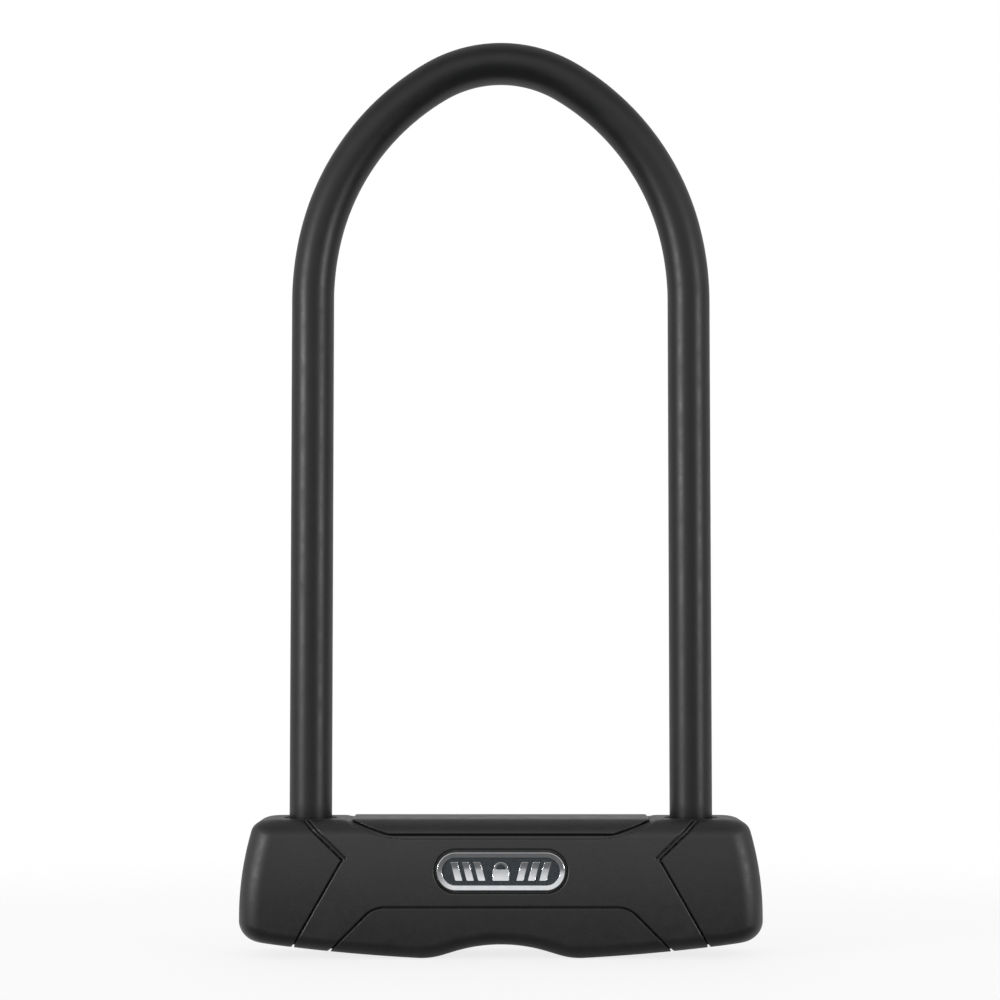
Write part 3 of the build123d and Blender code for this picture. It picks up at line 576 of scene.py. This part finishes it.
def shackle_line():
    """Places and headings along the shackle, from its right leg's low end over to the left's."""
    low_z = COATING_LOW[2]
    count = int((STRAIGHT_TOP_Z - low_z) / LEG_STEP)
    places = [(LEG_X, low_z + (STRAIGHT_TOP_Z - low_z) * i / count, 90.0) for i in range(count)]
    x, z, heading = LEG_X, STRAIGHT_TOP_Z, 90.0
    crown_turn = 90.0 - sum(turn for _, turn in SHACKLE_BENDS)
    for radius, turn in SHACKLE_BENDS + ((None, crown_turn),):
        sine, cosine = math.sin(math.radians(heading)), math.cos(math.radians(heading))
        radius = radius or x / sine
        middle_x, middle_z = x - radius * sine, z + radius * cosine
        steps = int(radius * math.radians(turn) / ARC_STEP)
        for i in range(steps):
            a = math.radians(heading + turn * i / steps)
            here = (middle_x + radius * math.sin(a), middle_z - radius * math.cos(a))
            places.append((*here, math.degrees(a)))
        heading += turn
        a = math.radians(heading)
        x, z = middle_x + radius * math.sin(a), middle_z - radius * math.cos(a)
    mirrored = [(-px, pz, 360.0 - ph) for px, pz, ph in reversed(places)]
    return places + [(0.0, z, 180.0)] + mirrored


def ring_faces(rings, around):
    """Quads that join rings of points one to the next, and the last to the first."""
    i = np.arange(rings)[:, None]
    j = np.arange(around)[None, :]
    here, there = i * around, (i + 1) % rings * around
    ahead = (j + 1) % around
    return np.stack([here + j, here + ahead, there + ahead, there + j], axis=-1).reshape(-1, 4)


def coating_mesh():
    """The coating as one closed tube: up the outside, over a rounded lip and back down the bore."""
    line = shackle_line()
    lip = [(COATING_LIP * (1 - math.sin(a)), COATING_LIP * (1 - math.cos(a))) for a in COATING_LIP_TURNS]
    first, last = line[0], line[-1]
    stations = [(first, up, COATING_R - inset) for up, inset in reversed(lip)]
    stations += [(place, 0.0, COATING_R) for place in line[1:-1]]
    stations += [(last, -up, COATING_R - inset) for up, inset in lip]
    stations += [(last, 0.0, COATING_BORE_R)]
    stations += [(place, 0.0, COATING_BORE_R) for place in reversed(line[1:-1])]
    stations += [(first, 0.0, COATING_BORE_R)]
    turn = np.linspace(0, 2 * math.pi, COATING_SIDES, endpoint=False)
    points = []
    for (x, z, heading), along, radius in stations:
        h = math.radians(heading)
        out = radius * np.cos(turn)
        px = x + along * math.cos(h) + out * math.sin(h)
        pz = z + along * math.sin(h) - out * math.cos(h)
        points.append(np.stack([px, radius * np.sin(turn), pz], axis=1))
    faces = ring_faces(len(stations), COATING_SIDES)
    return mesh_from("shackle_coating", np.concatenate(points), faces)


def turned(name, profile, x, around=96):
    """A ring turned about a leg's axis from a closed profile of radius and height pairs."""
    turn = np.linspace(0, 2 * math.pi, around, endpoint=False)
    across, deep = np.cos(turn), np.sin(turn)
    points = [np.stack([x + r * across, r * deep, np.full(around, z)], axis=1) for r, z in profile]
    return mesh_from(name, np.concatenate(points), ring_faces(len(profile), around))


def smooth_by_angle(mesh, degrees=35):
    """Shades the mesh smooth, apart from edges sharper than that."""
    mesh.polygons.foreach_set("use_smooth", np.ones(len(mesh.polygons), bool))
    mesh.set_sharp_from_angle(angle=math.radians(degrees))


def arc(middle, radius, start, end, steps=6):
    """Points on an arc in a profile, angles in degrees."""
    angles = [math.radians(start + (end - start) * i / steps) for i in range(steps + 1)]
    return [(middle[0] + radius * math.cos(a), middle[1] + radius * math.sin(a)) for a in angles]


def seal_profile():
    """A flat flange with a raised round lip around the leg."""
    low, high = SEAL_LOW[2], SEAL_HIGH[2]
    inner, outer = COATING_R + SEAL_CLEAR[0], SEAL_R - SEAL_CLEAR[1]
    lip = (inner + SEAL_LIP_R, high - SEAL_LIP_R)
    flange = high - SEAL_FLANGE_DROP
    edge = (outer - SEAL_EASE, flange - SEAL_EASE)
    corner = (lip[0] + SEAL_LIP_R + SEAL_EASE, flange + SEAL_EASE)
    return (
        [(outer, low), (outer, edge[1])]
        + arc(edge, SEAL_EASE, 0, 90)
        + arc(corner, SEAL_EASE, 270, 180, 4)
        + arc(lip, SEAL_LIP_R, 0, 180, 8)
        + [(inner, low)]
    )


# ================================================================ material kit
def grey(level):
    return (level, level, level)


def principled(name, colour, roughness, metallic=0.0, **more):
    """A new material and its shader, with the values that are the same all over."""
    material = bpy.data.materials.new(name)
    material.use_nodes = True
    shader = material.node_tree.nodes["Principled BSDF"]
    values = {"Base Color": (*colour, 1.0), "Roughness": roughness, "Metallic": metallic}
    for socket, value in {**values, **more}.items():
        shader.inputs[socket].default_value = value
    return material, shader


class Kit:
    """Adds texture nodes to one material, or to the world."""

    def __init__(self, owner, shader=None, coordinates="Object"):
        self.tree, self.shader = owner.node_tree, shader
        self.place = self.tree.nodes.new("ShaderNodeTexCoord").outputs[coordinates]

    def node(self, kind, **settings):
        node = self.tree.nodes.new(kind)
        for name, value in settings.items():
            setattr(node, name, value)
        return node

    def link(self, a, b):
        self.tree.links.new(a, b)

    def stretched(self, scale):
        """The place, scaled differently along each axis, for grain that runs one way."""
        mapping = self.node("ShaderNodeMapping")
        mapping.inputs["Scale"].default_value = scale
        self.link(self.place, mapping.inputs["Vector"])
        return mapping.outputs["Vector"]

    def noise(self, size_mm, detail=2.0, rough=0.5, place=None):
        """Smooth noise whose features are about size_mm across."""
        noise = self.node("ShaderNodeTexNoise")
        noise.inputs["Scale"].default_value = 1.0 / (size_mm * MM)
        noise.inputs["Detail"].default_value = detail
        noise.inputs["Roughness"].default_value = rough
        self.link(place or self.place, noise.inputs["Vector"])
        return noise.outputs["Fac"]

    def cells(self, size_mm, feature="F1"):
        """Rounded cells about size_mm across."""
        cells = self.node("ShaderNodeTexVoronoi", feature=feature)
        cells.inputs["Scale"].default_value = 1.0 / (size_mm * MM)
        self.link(self.place, cells.inputs["Vector"])
        return cells.outputs["Distance"]

    def attribute(self, name):
        return self.node("ShaderNodeAttribute", attribute_name=name).outputs["Fac"]

    def spread(self, value, low, high, from_low=0.0, from_high=1.0):
        """Maps a value from one range onto low to high."""
        mapped = self.node("ShaderNodeMapRange")
        sockets = ("From Min", "From Max", "To Min", "To Max")
        for socket, number in zip(sockets, (from_low, from_high, low, high)):
            mapped.inputs[socket].default_value = number
        self.link(value, mapped.inputs["Value"])
        return mapped.outputs["Result"]

    def maths(self, operation, a, b):
        """Two sockets or numbers in one operation."""
        node = self.node("ShaderNodeMath", operation=operation)
        for socket, value in zip(node.inputs, (a, b)):
            if hasattr(value, "links"):
                self.link(value, socket)
            else:
                socket.default_value = value
        return node.outputs["Value"]

    def tones(self, factor, *stops):
        """Colours that follow a factor; each stop is a position and a colour."""
        ramp = self.node("ShaderNodeValToRGB")
        elements = ramp.color_ramp.elements
        while len(elements) < len(stops):
            elements.new(0.5)
        for element, (position, colour) in zip(elements, stops):
            element.position = position
            element.color = (*colour, 1.0)
        self.link(factor, ramp.inputs["Fac"])
        return ramp.outputs["Color"]

    def blend(self, factor, a, b):
        """A colour between two sockets or colours."""
        mix = self.node("ShaderNodeMix", data_type="RGBA")
        colours = [socket for socket in mix.inputs if socket.type == "RGBA"]
        self.link(factor, mix.inputs["Factor"])
        for socket, value in zip(colours, (a, b)):
            if hasattr(value, "links"):
                self.link(value, socket)
            else:
                socket.default_value = (*value, 1.0)
        return next(socket for socket in mix.outputs if socket.type == "RGBA")

    def bumps(self, *layers):
        """Stacks bumps; each layer is a height and its depth in millimetres."""
        normal = None
        for height, depth_mm in layers:
            bump = self.node("ShaderNodeBump")
            bump.inputs["Distance"].default_value = depth_mm * MM
            self.link(height, bump.inputs["Height"])
            if normal:
                self.link(normal, bump.inputs["Normal"])
            normal = bump.outputs["Normal"]
        self.link(normal, self.shader.inputs["Normal"])

    def set(self, socket, value):
        self.link(value, self.shader.inputs[socket])


# ================================================================ materials
MIDDLE = (0.3, 0.7)  # the range that most of a noise's values lie in
MOTTLE = (0.6, 0.4)  # shares of the clouds and of the grain in a plastic's tone
EDGE_HIGHLIGHT_TINT = (0.5, 2.2)  # how far a sharp edge takes on the painted highlight tone, and how much lighter that tone is
EDGE_GLOSS = 0.1  # how much less rough a sharp edge is


def moulded_plastic(name, dark, light, rough, gloss, grain_mm, grain_depth):
    """Black nylon with a spark-eroded mould texture, a little less rough along its sharpest edges, where a
    lighter tone is painted on as a highlight.
    """
    material, shader = principled(name, dark, rough, **{"Specular IOR Level": gloss})
    kit = Kit(material, shader)
    edge_highlight = kit.attribute("edge_highlight")
    cloud = kit.noise(14.0, 3.0)
    fine = kit.noise(grain_mm, 3.0, 0.6)
    clouds, grain = kit.maths("MULTIPLY", cloud, MOTTLE[0]), kit.maths("MULTIPLY", fine, MOTTLE[1])
    tone = kit.tones(kit.maths("ADD", clouds, grain), (0.35, dark), (0.65, light))
    highlight_tone = tuple(EDGE_HIGHLIGHT_TINT[1] * c for c in light)
    # the lighter tone along the sharpest edges is a painted highlight
    kit.set("Base Color", kit.blend(kit.maths("MULTIPLY", edge_highlight, EDGE_HIGHLIGHT_TINT[0]), tone, highlight_tone))
    varied = kit.spread(kit.noise(3.0, 4.0), rough - 0.05, rough + 0.05, *MIDDLE)
    kit.set("Roughness", kit.maths("SUBTRACT", varied, kit.maths("MULTIPLY", edge_highlight, EDGE_GLOSS)))
    waves, cells = kit.noise(2.5, 2.0), kit.cells(grain_mm, "SMOOTH_F1")
    kit.bumps((waves, 0.012), (cells, grain_depth), (fine, grain_depth))
    return material


def grip_rubber():
    """Softer than the covers, a touch darker and duller, with a slightly coarser grain."""
    return moulded_plastic("grip_rubber", grey(0.0048), grey(0.008), 0.53, 0.68, 0.36, 0.022)


def vinyl():
    """The shackle's soft coating: an even satin skin with a faint orange peel."""
    dark, light = grey(0.0042), grey(0.0066)
    material, shader = principled("coating_vinyl", dark, 0.4, **{"Specular IOR Level": 0.5})
    kit = Kit(material, shader)
    kit.set("Base Color", kit.tones(kit.noise(9.0, 4.0), (0.35, dark), (0.65, light)))
    kit.set("Roughness", kit.spread(kit.noise(5.0, 5.0, 0.6), 0.36, 0.45, *MIDDLE))
    kit.bumps((kit.noise(9.0, 1.0), 0.03), (kit.noise(0.9, 2.0), 0.01), (kit.noise(0.28, 2.0), 0.008))
    return material


def seal_rubber():
    """Dull and a little dusty."""
    dark, light = grey(0.012), grey(0.03)
    material, shader = principled("seal_rubber", dark, 0.7, **{"Specular IOR Level": 0.4})
    kit = Kit(material, shader)
    kit.set("Base Color", kit.tones(kit.noise(1.2, 5.0), (0.4, dark), (0.8, light)))
    kit.set("Roughness", kit.spread(kit.noise(0.8, 3.0), 0.6, 0.8, *MIDDLE))
    kit.bumps((kit.noise(0.25, 3.0), 0.02))
    return material


def chrome():
    """Plated and polished, with faint smears and hairline scratches along the badge."""
    material, shader = principled("badge_chrome", (0.74, 0.76, 0.78), 0.1, 1.0)
    kit = Kit(material, shader)
    hair = kit.noise(0.06, 2.0, 0.5, kit.stretched((0.06, 1.0, 1.0)))
    kit.set("Base Color", kit.tones(kit.noise(2.0, 3.0), (0.3, (0.68, 0.7, 0.73)), (0.7, (0.78, 0.79, 0.8))))
    kit.set("Roughness", kit.spread(kit.noise(1.5, 4.0), 0.07, 0.16, *MIDDLE))
    kit.bumps((hair, 0.0006), (kit.noise(0.5, 3.0), 0.0015))
    return material


def badge_black():
    """The badge's grained blue-black ground."""
    dark, light = (0.012, 0.016, 0.02), (0.05, 0.065, 0.078)
    material, shader = principled("badge_black", dark, 0.42)
    kit = Kit(material, shader)
    grain = kit.noise(0.3, 4.0, 0.65)
    kit.set("Base Color", kit.tones(grain, (0.38, dark), (0.68, light)))
    kit.set("Roughness", kit.spread(kit.noise(0.6, 3.0), 0.35, 0.55, *MIDDLE))
    kit.bumps((kit.cells(0.35), 0.03), (grain, 0.02))
    return material


def ground_metal(name, colour, shade, rough, along=(1.0, 1.0, 1.0), grain_mm=0.12, depth=0.004, stain=0.35):
    """Machined metal: a fine grain along one way, and clouds of dull stain and smoother shine."""
    material, shader = principled(name, colour, rough, 1.0)
    kit = Kit(material, shader)
    grain = kit.noise(grain_mm, 3.0, 0.6, kit.stretched(along))
    cloud = kit.noise(4.0, 5.0, 0.6)
    tone = kit.tones(cloud, (0.5 - stain / 2, shade), (0.5 + stain / 2, colour))
    kit.set("Base Color", kit.blend(kit.spread(grain, 0.0, 0.35, 0.35, 0.65), tone, shade))
    clouded = kit.spread(cloud, rough + 0.08, rough - 0.05, *MIDDLE)
    kit.set("Roughness", kit.maths("ADD", clouded, kit.spread(grain, -0.04, 0.04, *MIDDLE)))
    kit.bumps((kit.noise(1.6, 3.0), 0.006), (grain, depth))
    return material


def cast_metal(name, colour, shade):
    """Die-cast zinc, dull and slightly pitted."""
    material, shader = principled(name, colour, 0.5, 1.0)
    kit = Kit(material, shader)
    kit.set("Base Color", kit.tones(kit.noise(3.0, 5.0), (0.35, shade), (0.65, colour)))
    kit.set("Roughness", kit.spread(kit.noise(1.0, 4.0), 0.42, 0.62, *MIDDLE))
    kit.bumps((kit.cells(0.7), 0.01), (kit.noise(0.2, 3.0), 0.012))
    return material


UPRIGHT = (1.0, 1.0, 0.05)  # which way a metal's grain runs
CROSSWAYS = (0.05, 1.0, 1.0)
FINISHES = {
    "cover_plastic": lambda: moulded_plastic(
        "cover_plastic", grey(0.005), grey(0.0085), 0.47, 0.75, 0.32, 0.02
    ),
    "cap_plastic": lambda: moulded_plastic(
        "cap_plastic", grey(0.005), grey(0.0085), 0.47, 0.68, 0.32, 0.02
    ),
    "strip_plastic": lambda: moulded_plastic(
        "strip_plastic", grey(0.005), grey(0.008), 0.44, 0.75, 0.3, 0.017
    ),
    "grip_rubber": grip_rubber,
    "shutter_plastic": lambda: moulded_plastic(
        "shutter_plastic", grey(0.012), grey(0.018), 0.45, 0.6, 0.3, 0.01
    ),
    "coating": vinyl,
    "seal_rubber": seal_rubber,
    "badge_chrome": chrome,
    "badge_black": badge_black,
    "sleeve_steel": lambda: ground_metal(
        "sleeve_steel", (0.5, 0.5, 0.51), (0.28, 0.28, 0.3), 0.38, CROSSWAYS, 0.1, 0.004
    ),
    "case_alloy": lambda: cast_metal("case_alloy", (0.48, 0.48, 0.5), (0.3, 0.3, 0.32)),
    "fastener_steel": lambda: ground_metal(
        "fastener_steel", (0.2, 0.2, 0.21), (0.09, 0.09, 0.1), 0.4
    ),
    "hardened_steel": lambda: ground_metal(
        "hardened_steel", (0.56, 0.56, 0.57), (0.36, 0.36, 0.38), 0.27, UPRIGHT, 0.08, 0.003
    ),
    "cylinder_brass": lambda: ground_metal(
        "cylinder_brass", (0.78, 0.58, 0.26), (0.55, 0.38, 0.16), 0.28
    ),
    "disc_brass": lambda: ground_metal(
        "disc_brass", (0.74, 0.53, 0.24), (0.45, 0.3, 0.13), 0.33
    ),
    "track_steel": lambda: ground_metal(
        "track_steel", (0.6, 0.6, 0.6), (0.4, 0.4, 0.41), 0.3, CROSSWAYS, 0.08, 0.003
    ),
}
finishes = {slot: make() for slot, make in FINISHES.items()}


def finished(piece, slot):
    """Gives a piece the finish of a material slot."""
    piece.data.materials.clear()
    piece.data.materials.append(finishes[slot])


def finish_nodes():
    """Gives every CAD node the material of its slot in the record."""
    for entry in frame["record"]["subparts"]:
        finished(frame["nodes"][entry["node"]], entry["material_slot"])


# ================================================================ the pieces
def make_covers():
    """The covers. Each one's grid reaches from a low to a high x, and from a low to a high z."""
    top, end, foot = BODY_H + COVER_ROOM, HALF_L + COVER_ROOM, 0.4
    for name, field, reach, slot in (
        ("centre_cover", centre_cover, (-69.5, 69.5, foot, top), "cover_plastic"),
        ("left_end_cap", left_end_cap, (-end, -49.0, foot, top), "cap_plastic"),
        ("right_end_cap", right_end_cap, (49.0, end, foot, top), "cap_plastic"),
        ("top_strip", top_strip, (-51.5, 51.5, 38.0, top), "strip_plastic"),
        ("bottom_grip", bottom_grip, (-57.5, 57.5, -0.6, 17.0), "grip_rubber"),
    ):
        finished(carved(name, field, cover_lines(*reach)), slot)


def make_badge():
    slot = "badge_chrome"
    lines = lines_round(BEZEL_LOW, BEZEL_HIGH, BADGE_STEP)
    finished(carved("badge_bezel", badge_bezel, lines), slot)
    lines = lines_round(EMBLEM_LOW, EMBLEM_HIGH, BADGE_STEP)
    finished(carved("badge_emblem", badge_emblem, lines), slot)


def make_shutter():
    slot = "shutter_plastic"
    lines = lines_round(SHUTTER_LOW, SHUTTER_HIGH, SHUTTER_STEP)
    finished(carved("keyhole_shutter", keyhole_shutter, lines, "shutter"), slot)


def make_coating():
    mesh = coating_mesh()
    smooth_by_angle(mesh)
    finished(placed("shackle_coating", mesh, "shackle"), "coating")


def make_seals():
    for side, x in (("left", -LEG_X), ("right", LEG_X)):
        mesh = turned(f"{side}_shackle_seal", seal_profile(), x)
        smooth_by_angle(mesh, 50)
        finished(placed(f"{side}_shackle_seal", mesh, "crossbar"), "seal_rubber")


finish_nodes()
make_covers()
make_badge()
make_shutter()
make_coating()
make_seals()


# ================================================================ stage, light and camera
WHITE = grey(1.0)
FLOOR_TONE = grey(0.22)
FLOOR_GLOW = 0.785  # as the camera sees it
FLOOR_MIRRORED = 0.8  # as the lock's gloss sees it, but only behind the lock's front:
FLOOR_MIRRORED_Y = (-0.02, -0.004)
FLOOR_FADE = (0.16, 0.5)  # metres from the lock: where the floor starts and ends fading into white
FLOOR_SIDES = 64

# the studio's tones, and how far round each goes over into the next, from -1 to 1 along an axis
STUDIO_LEFT = grey(0.84)
STUDIO_RIGHT = grey(0.4)
LEFT_TO_RIGHT_X = (-0.16, 0.16)
STUDIO_LOW = (0.11, 0.12, 0.135)
LOW_TO_LEVEL_Z = (-0.26, -0.02)
STUDIO_HIGH = grey(0.94)
LEVEL_TO_HIGH_Z = (0.06, 0.32)
STUDIO_BACK = grey(0.68)
FRONT_TO_BACK_Y = (-0.3, 0.3)
STUDIO_TOP = grey(0.26)
WALL_TO_TOP_Z = (0.5, 0.85)

# the lights, in metres
SIDE_BOXES = (  # side, low and high edge and radiance
    (-1, 0.39, 0.61, 44.0),
    (1, 0.14, 0.58, 15.5),
)
SIDE_TURN = math.radians(52)  # from straight in front
SIDE_AWAY = 3.0
SIDE_WIDTH = 0.948
TOP_BOX = ((0, 0.25, 1.2), (0, 0, 0.14), 1.2, 0.9, 0.3)  # place, aim, width, height, radiance

# the camera, in metres
CAMERA_AIM = (-0.00027, 0.0, 0.14506)
CAMERA_AWAY = 0.84
CAMERA_PITCH = math.radians(3.5)  # how much it looks up
CAMERA_FIELD = 0.3224  # the picture's width at the lock
SENSOR_MM = 36.0


def make_floor():
    """A pale floor that glows a little, like a light table, and fades into the white around it."""
    turn = np.linspace(0, 2 * math.pi, FLOOR_SIDES, endpoint=False)
    rim = np.stack([np.cos(turn), np.sin(turn), 0 * turn], axis=1) * FLOOR_FADE[1] / MM
    floor = bpy.data.objects.new("floor", mesh_from("floor", rim, [list(range(FLOOR_SIDES))]))
    bpy.context.scene.collection.objects.link(floor)
    material, shader = principled("floor", FLOOR_TONE, 0.9)
    shader.inputs["Emission Color"].default_value = (*WHITE, 1.0)
    kit = Kit(material, shader)
    rays = kit.node("ShaderNodeLightPath")
    split = kit.node("ShaderNodeSeparateXYZ")
    kit.link(kit.place, split.inputs[0])
    behind = kit.spread(split.outputs["Y"], 0.0, FLOOR_MIRRORED, *FLOOR_MIRRORED_Y)
    mirrored = kit.maths("MULTIPLY", rays.outputs["Is Glossy Ray"], behind)
    seen = kit.spread(rays.outputs["Is Camera Ray"], 0.0, FLOOR_GLOW)
    kit.set("Emission Strength", kit.maths("ADD", seen, mirrored))
    length = kit.node("ShaderNodeVectorMath", operation="LENGTH")
    kit.link(kit.place, length.inputs[0])
    fade = kit.node("ShaderNodeMapRange", interpolation_type="SMOOTHERSTEP")
    fade.inputs["From Min"].default_value = FLOOR_FADE[0]
    fade.inputs["From Max"].default_value = FLOOR_FADE[1]
    kit.link(length.outputs["Value"], fade.inputs["Value"])
    below = kit.node("ShaderNodeNewGeometry").outputs["Backfacing"]
    clear = kit.maths("MAXIMUM", fade.outputs["Result"], below)
    mix = kit.node("ShaderNodeMixShader")
    glass = kit.node("ShaderNodeBsdfTransparent")
    kit.link(clear, mix.inputs[0])
    kit.link(shader.outputs[0], mix.inputs[1])
    kit.link(glass.outputs[0], mix.inputs[2])
    output = next(n for n in kit.tree.nodes if n.type == "OUTPUT_MATERIAL")
    kit.link(mix.outputs[0], output.inputs["Surface"])
    floor.data.materials.append(material)


def make_studio():
    """White to the camera, and to everything else a room: grey above, pale behind, and in front
    of the lock dark low down, bright high up and falling off from left to right between."""
    world = bpy.data.worlds.new("studio")
    bpy.context.scene.world = world
    world.use_nodes = True
    background = world.node_tree.nodes["Background"]
    kit = Kit(world, coordinates="Generated")
    split = kit.node("ShaderNodeSeparateXYZ")
    kit.link(kit.place, split.inputs[0])
    x, y, z = (split.outputs[axis] for axis in "XYZ")
    behind = kit.spread(y, 0.0, 1.0, *FRONT_TO_BACK_Y)
    above = kit.spread(z, 0.0, 1.0, *WALL_TO_TOP_Z)
    level = kit.blend(kit.spread(x, 0.0, 1.0, *LEFT_TO_RIGHT_X), STUDIO_LEFT, STUDIO_RIGHT)
    front = kit.blend(kit.spread(z, 0.0, 1.0, *LOW_TO_LEVEL_Z), STUDIO_LOW, level)
    front = kit.blend(kit.spread(z, 0.0, 1.0, *LEVEL_TO_HIGH_Z), front, STUDIO_HIGH)
    sky = kit.blend(above, kit.blend(behind, front, STUDIO_BACK), STUDIO_TOP)
    seen = kit.node("ShaderNodeLightPath").outputs["Is Camera Ray"]
    kit.link(kit.blend(seen, sky, WHITE), background.inputs["Color"])


def make_light(name, place, aim, width, height, radiance):
    """A soft box. Its power follows from how bright its face is."""
    light = bpy.data.lights.new(name, "AREA")
    light.shape = "RECTANGLE"
    light.size, light.size_y = width, height
    light.energy = radiance * math.pi * width * height
    lamp = bpy.data.objects.new(name, light)
    bpy.context.scene.collection.objects.link(lamp)
    lamp.location = place
    lamp.rotation_euler = (Vector(aim) - Vector(place)).to_track_quat("-Z", "Y").to_euler()


def make_lights():
    for side, low, high, radiance in SIDE_BOXES:
        middle_z = (low + high) / 2
        place = (side * SIDE_AWAY * math.sin(SIDE_TURN), -SIDE_AWAY * math.cos(SIDE_TURN), middle_z)
        make_light(f"side_box_{side}", place, (0, 0, middle_z), SIDE_WIDTH, high - low, radiance)
    make_light("top_box", *TOP_BOX)


def make_camera():
    """Square on to the front and a little below the lock's middle, as in the photograph."""
    aim = Vector(CAMERA_AIM)
    towards = Vector((0.0, -math.cos(CAMERA_PITCH), -math.sin(CAMERA_PITCH)))
    data = bpy.data.cameras.new("camera")
    data.sensor_width = SENSOR_MM
    data.lens = data.sensor_width * CAMERA_AWAY / CAMERA_FIELD
    camera = bpy.data.objects.new("camera", data)
    bpy.context.scene.collection.objects.link(camera)
    camera.location = aim + CAMERA_AWAY * towards
    camera.rotation_euler = (aim - camera.location).to_track_quat("-Z", "Y").to_euler()
    bpy.context.scene.camera = camera


make_floor()
make_studio()
make_lights()
make_camera()
bpy.context.scene.view_settings.view_transform = "Standard"
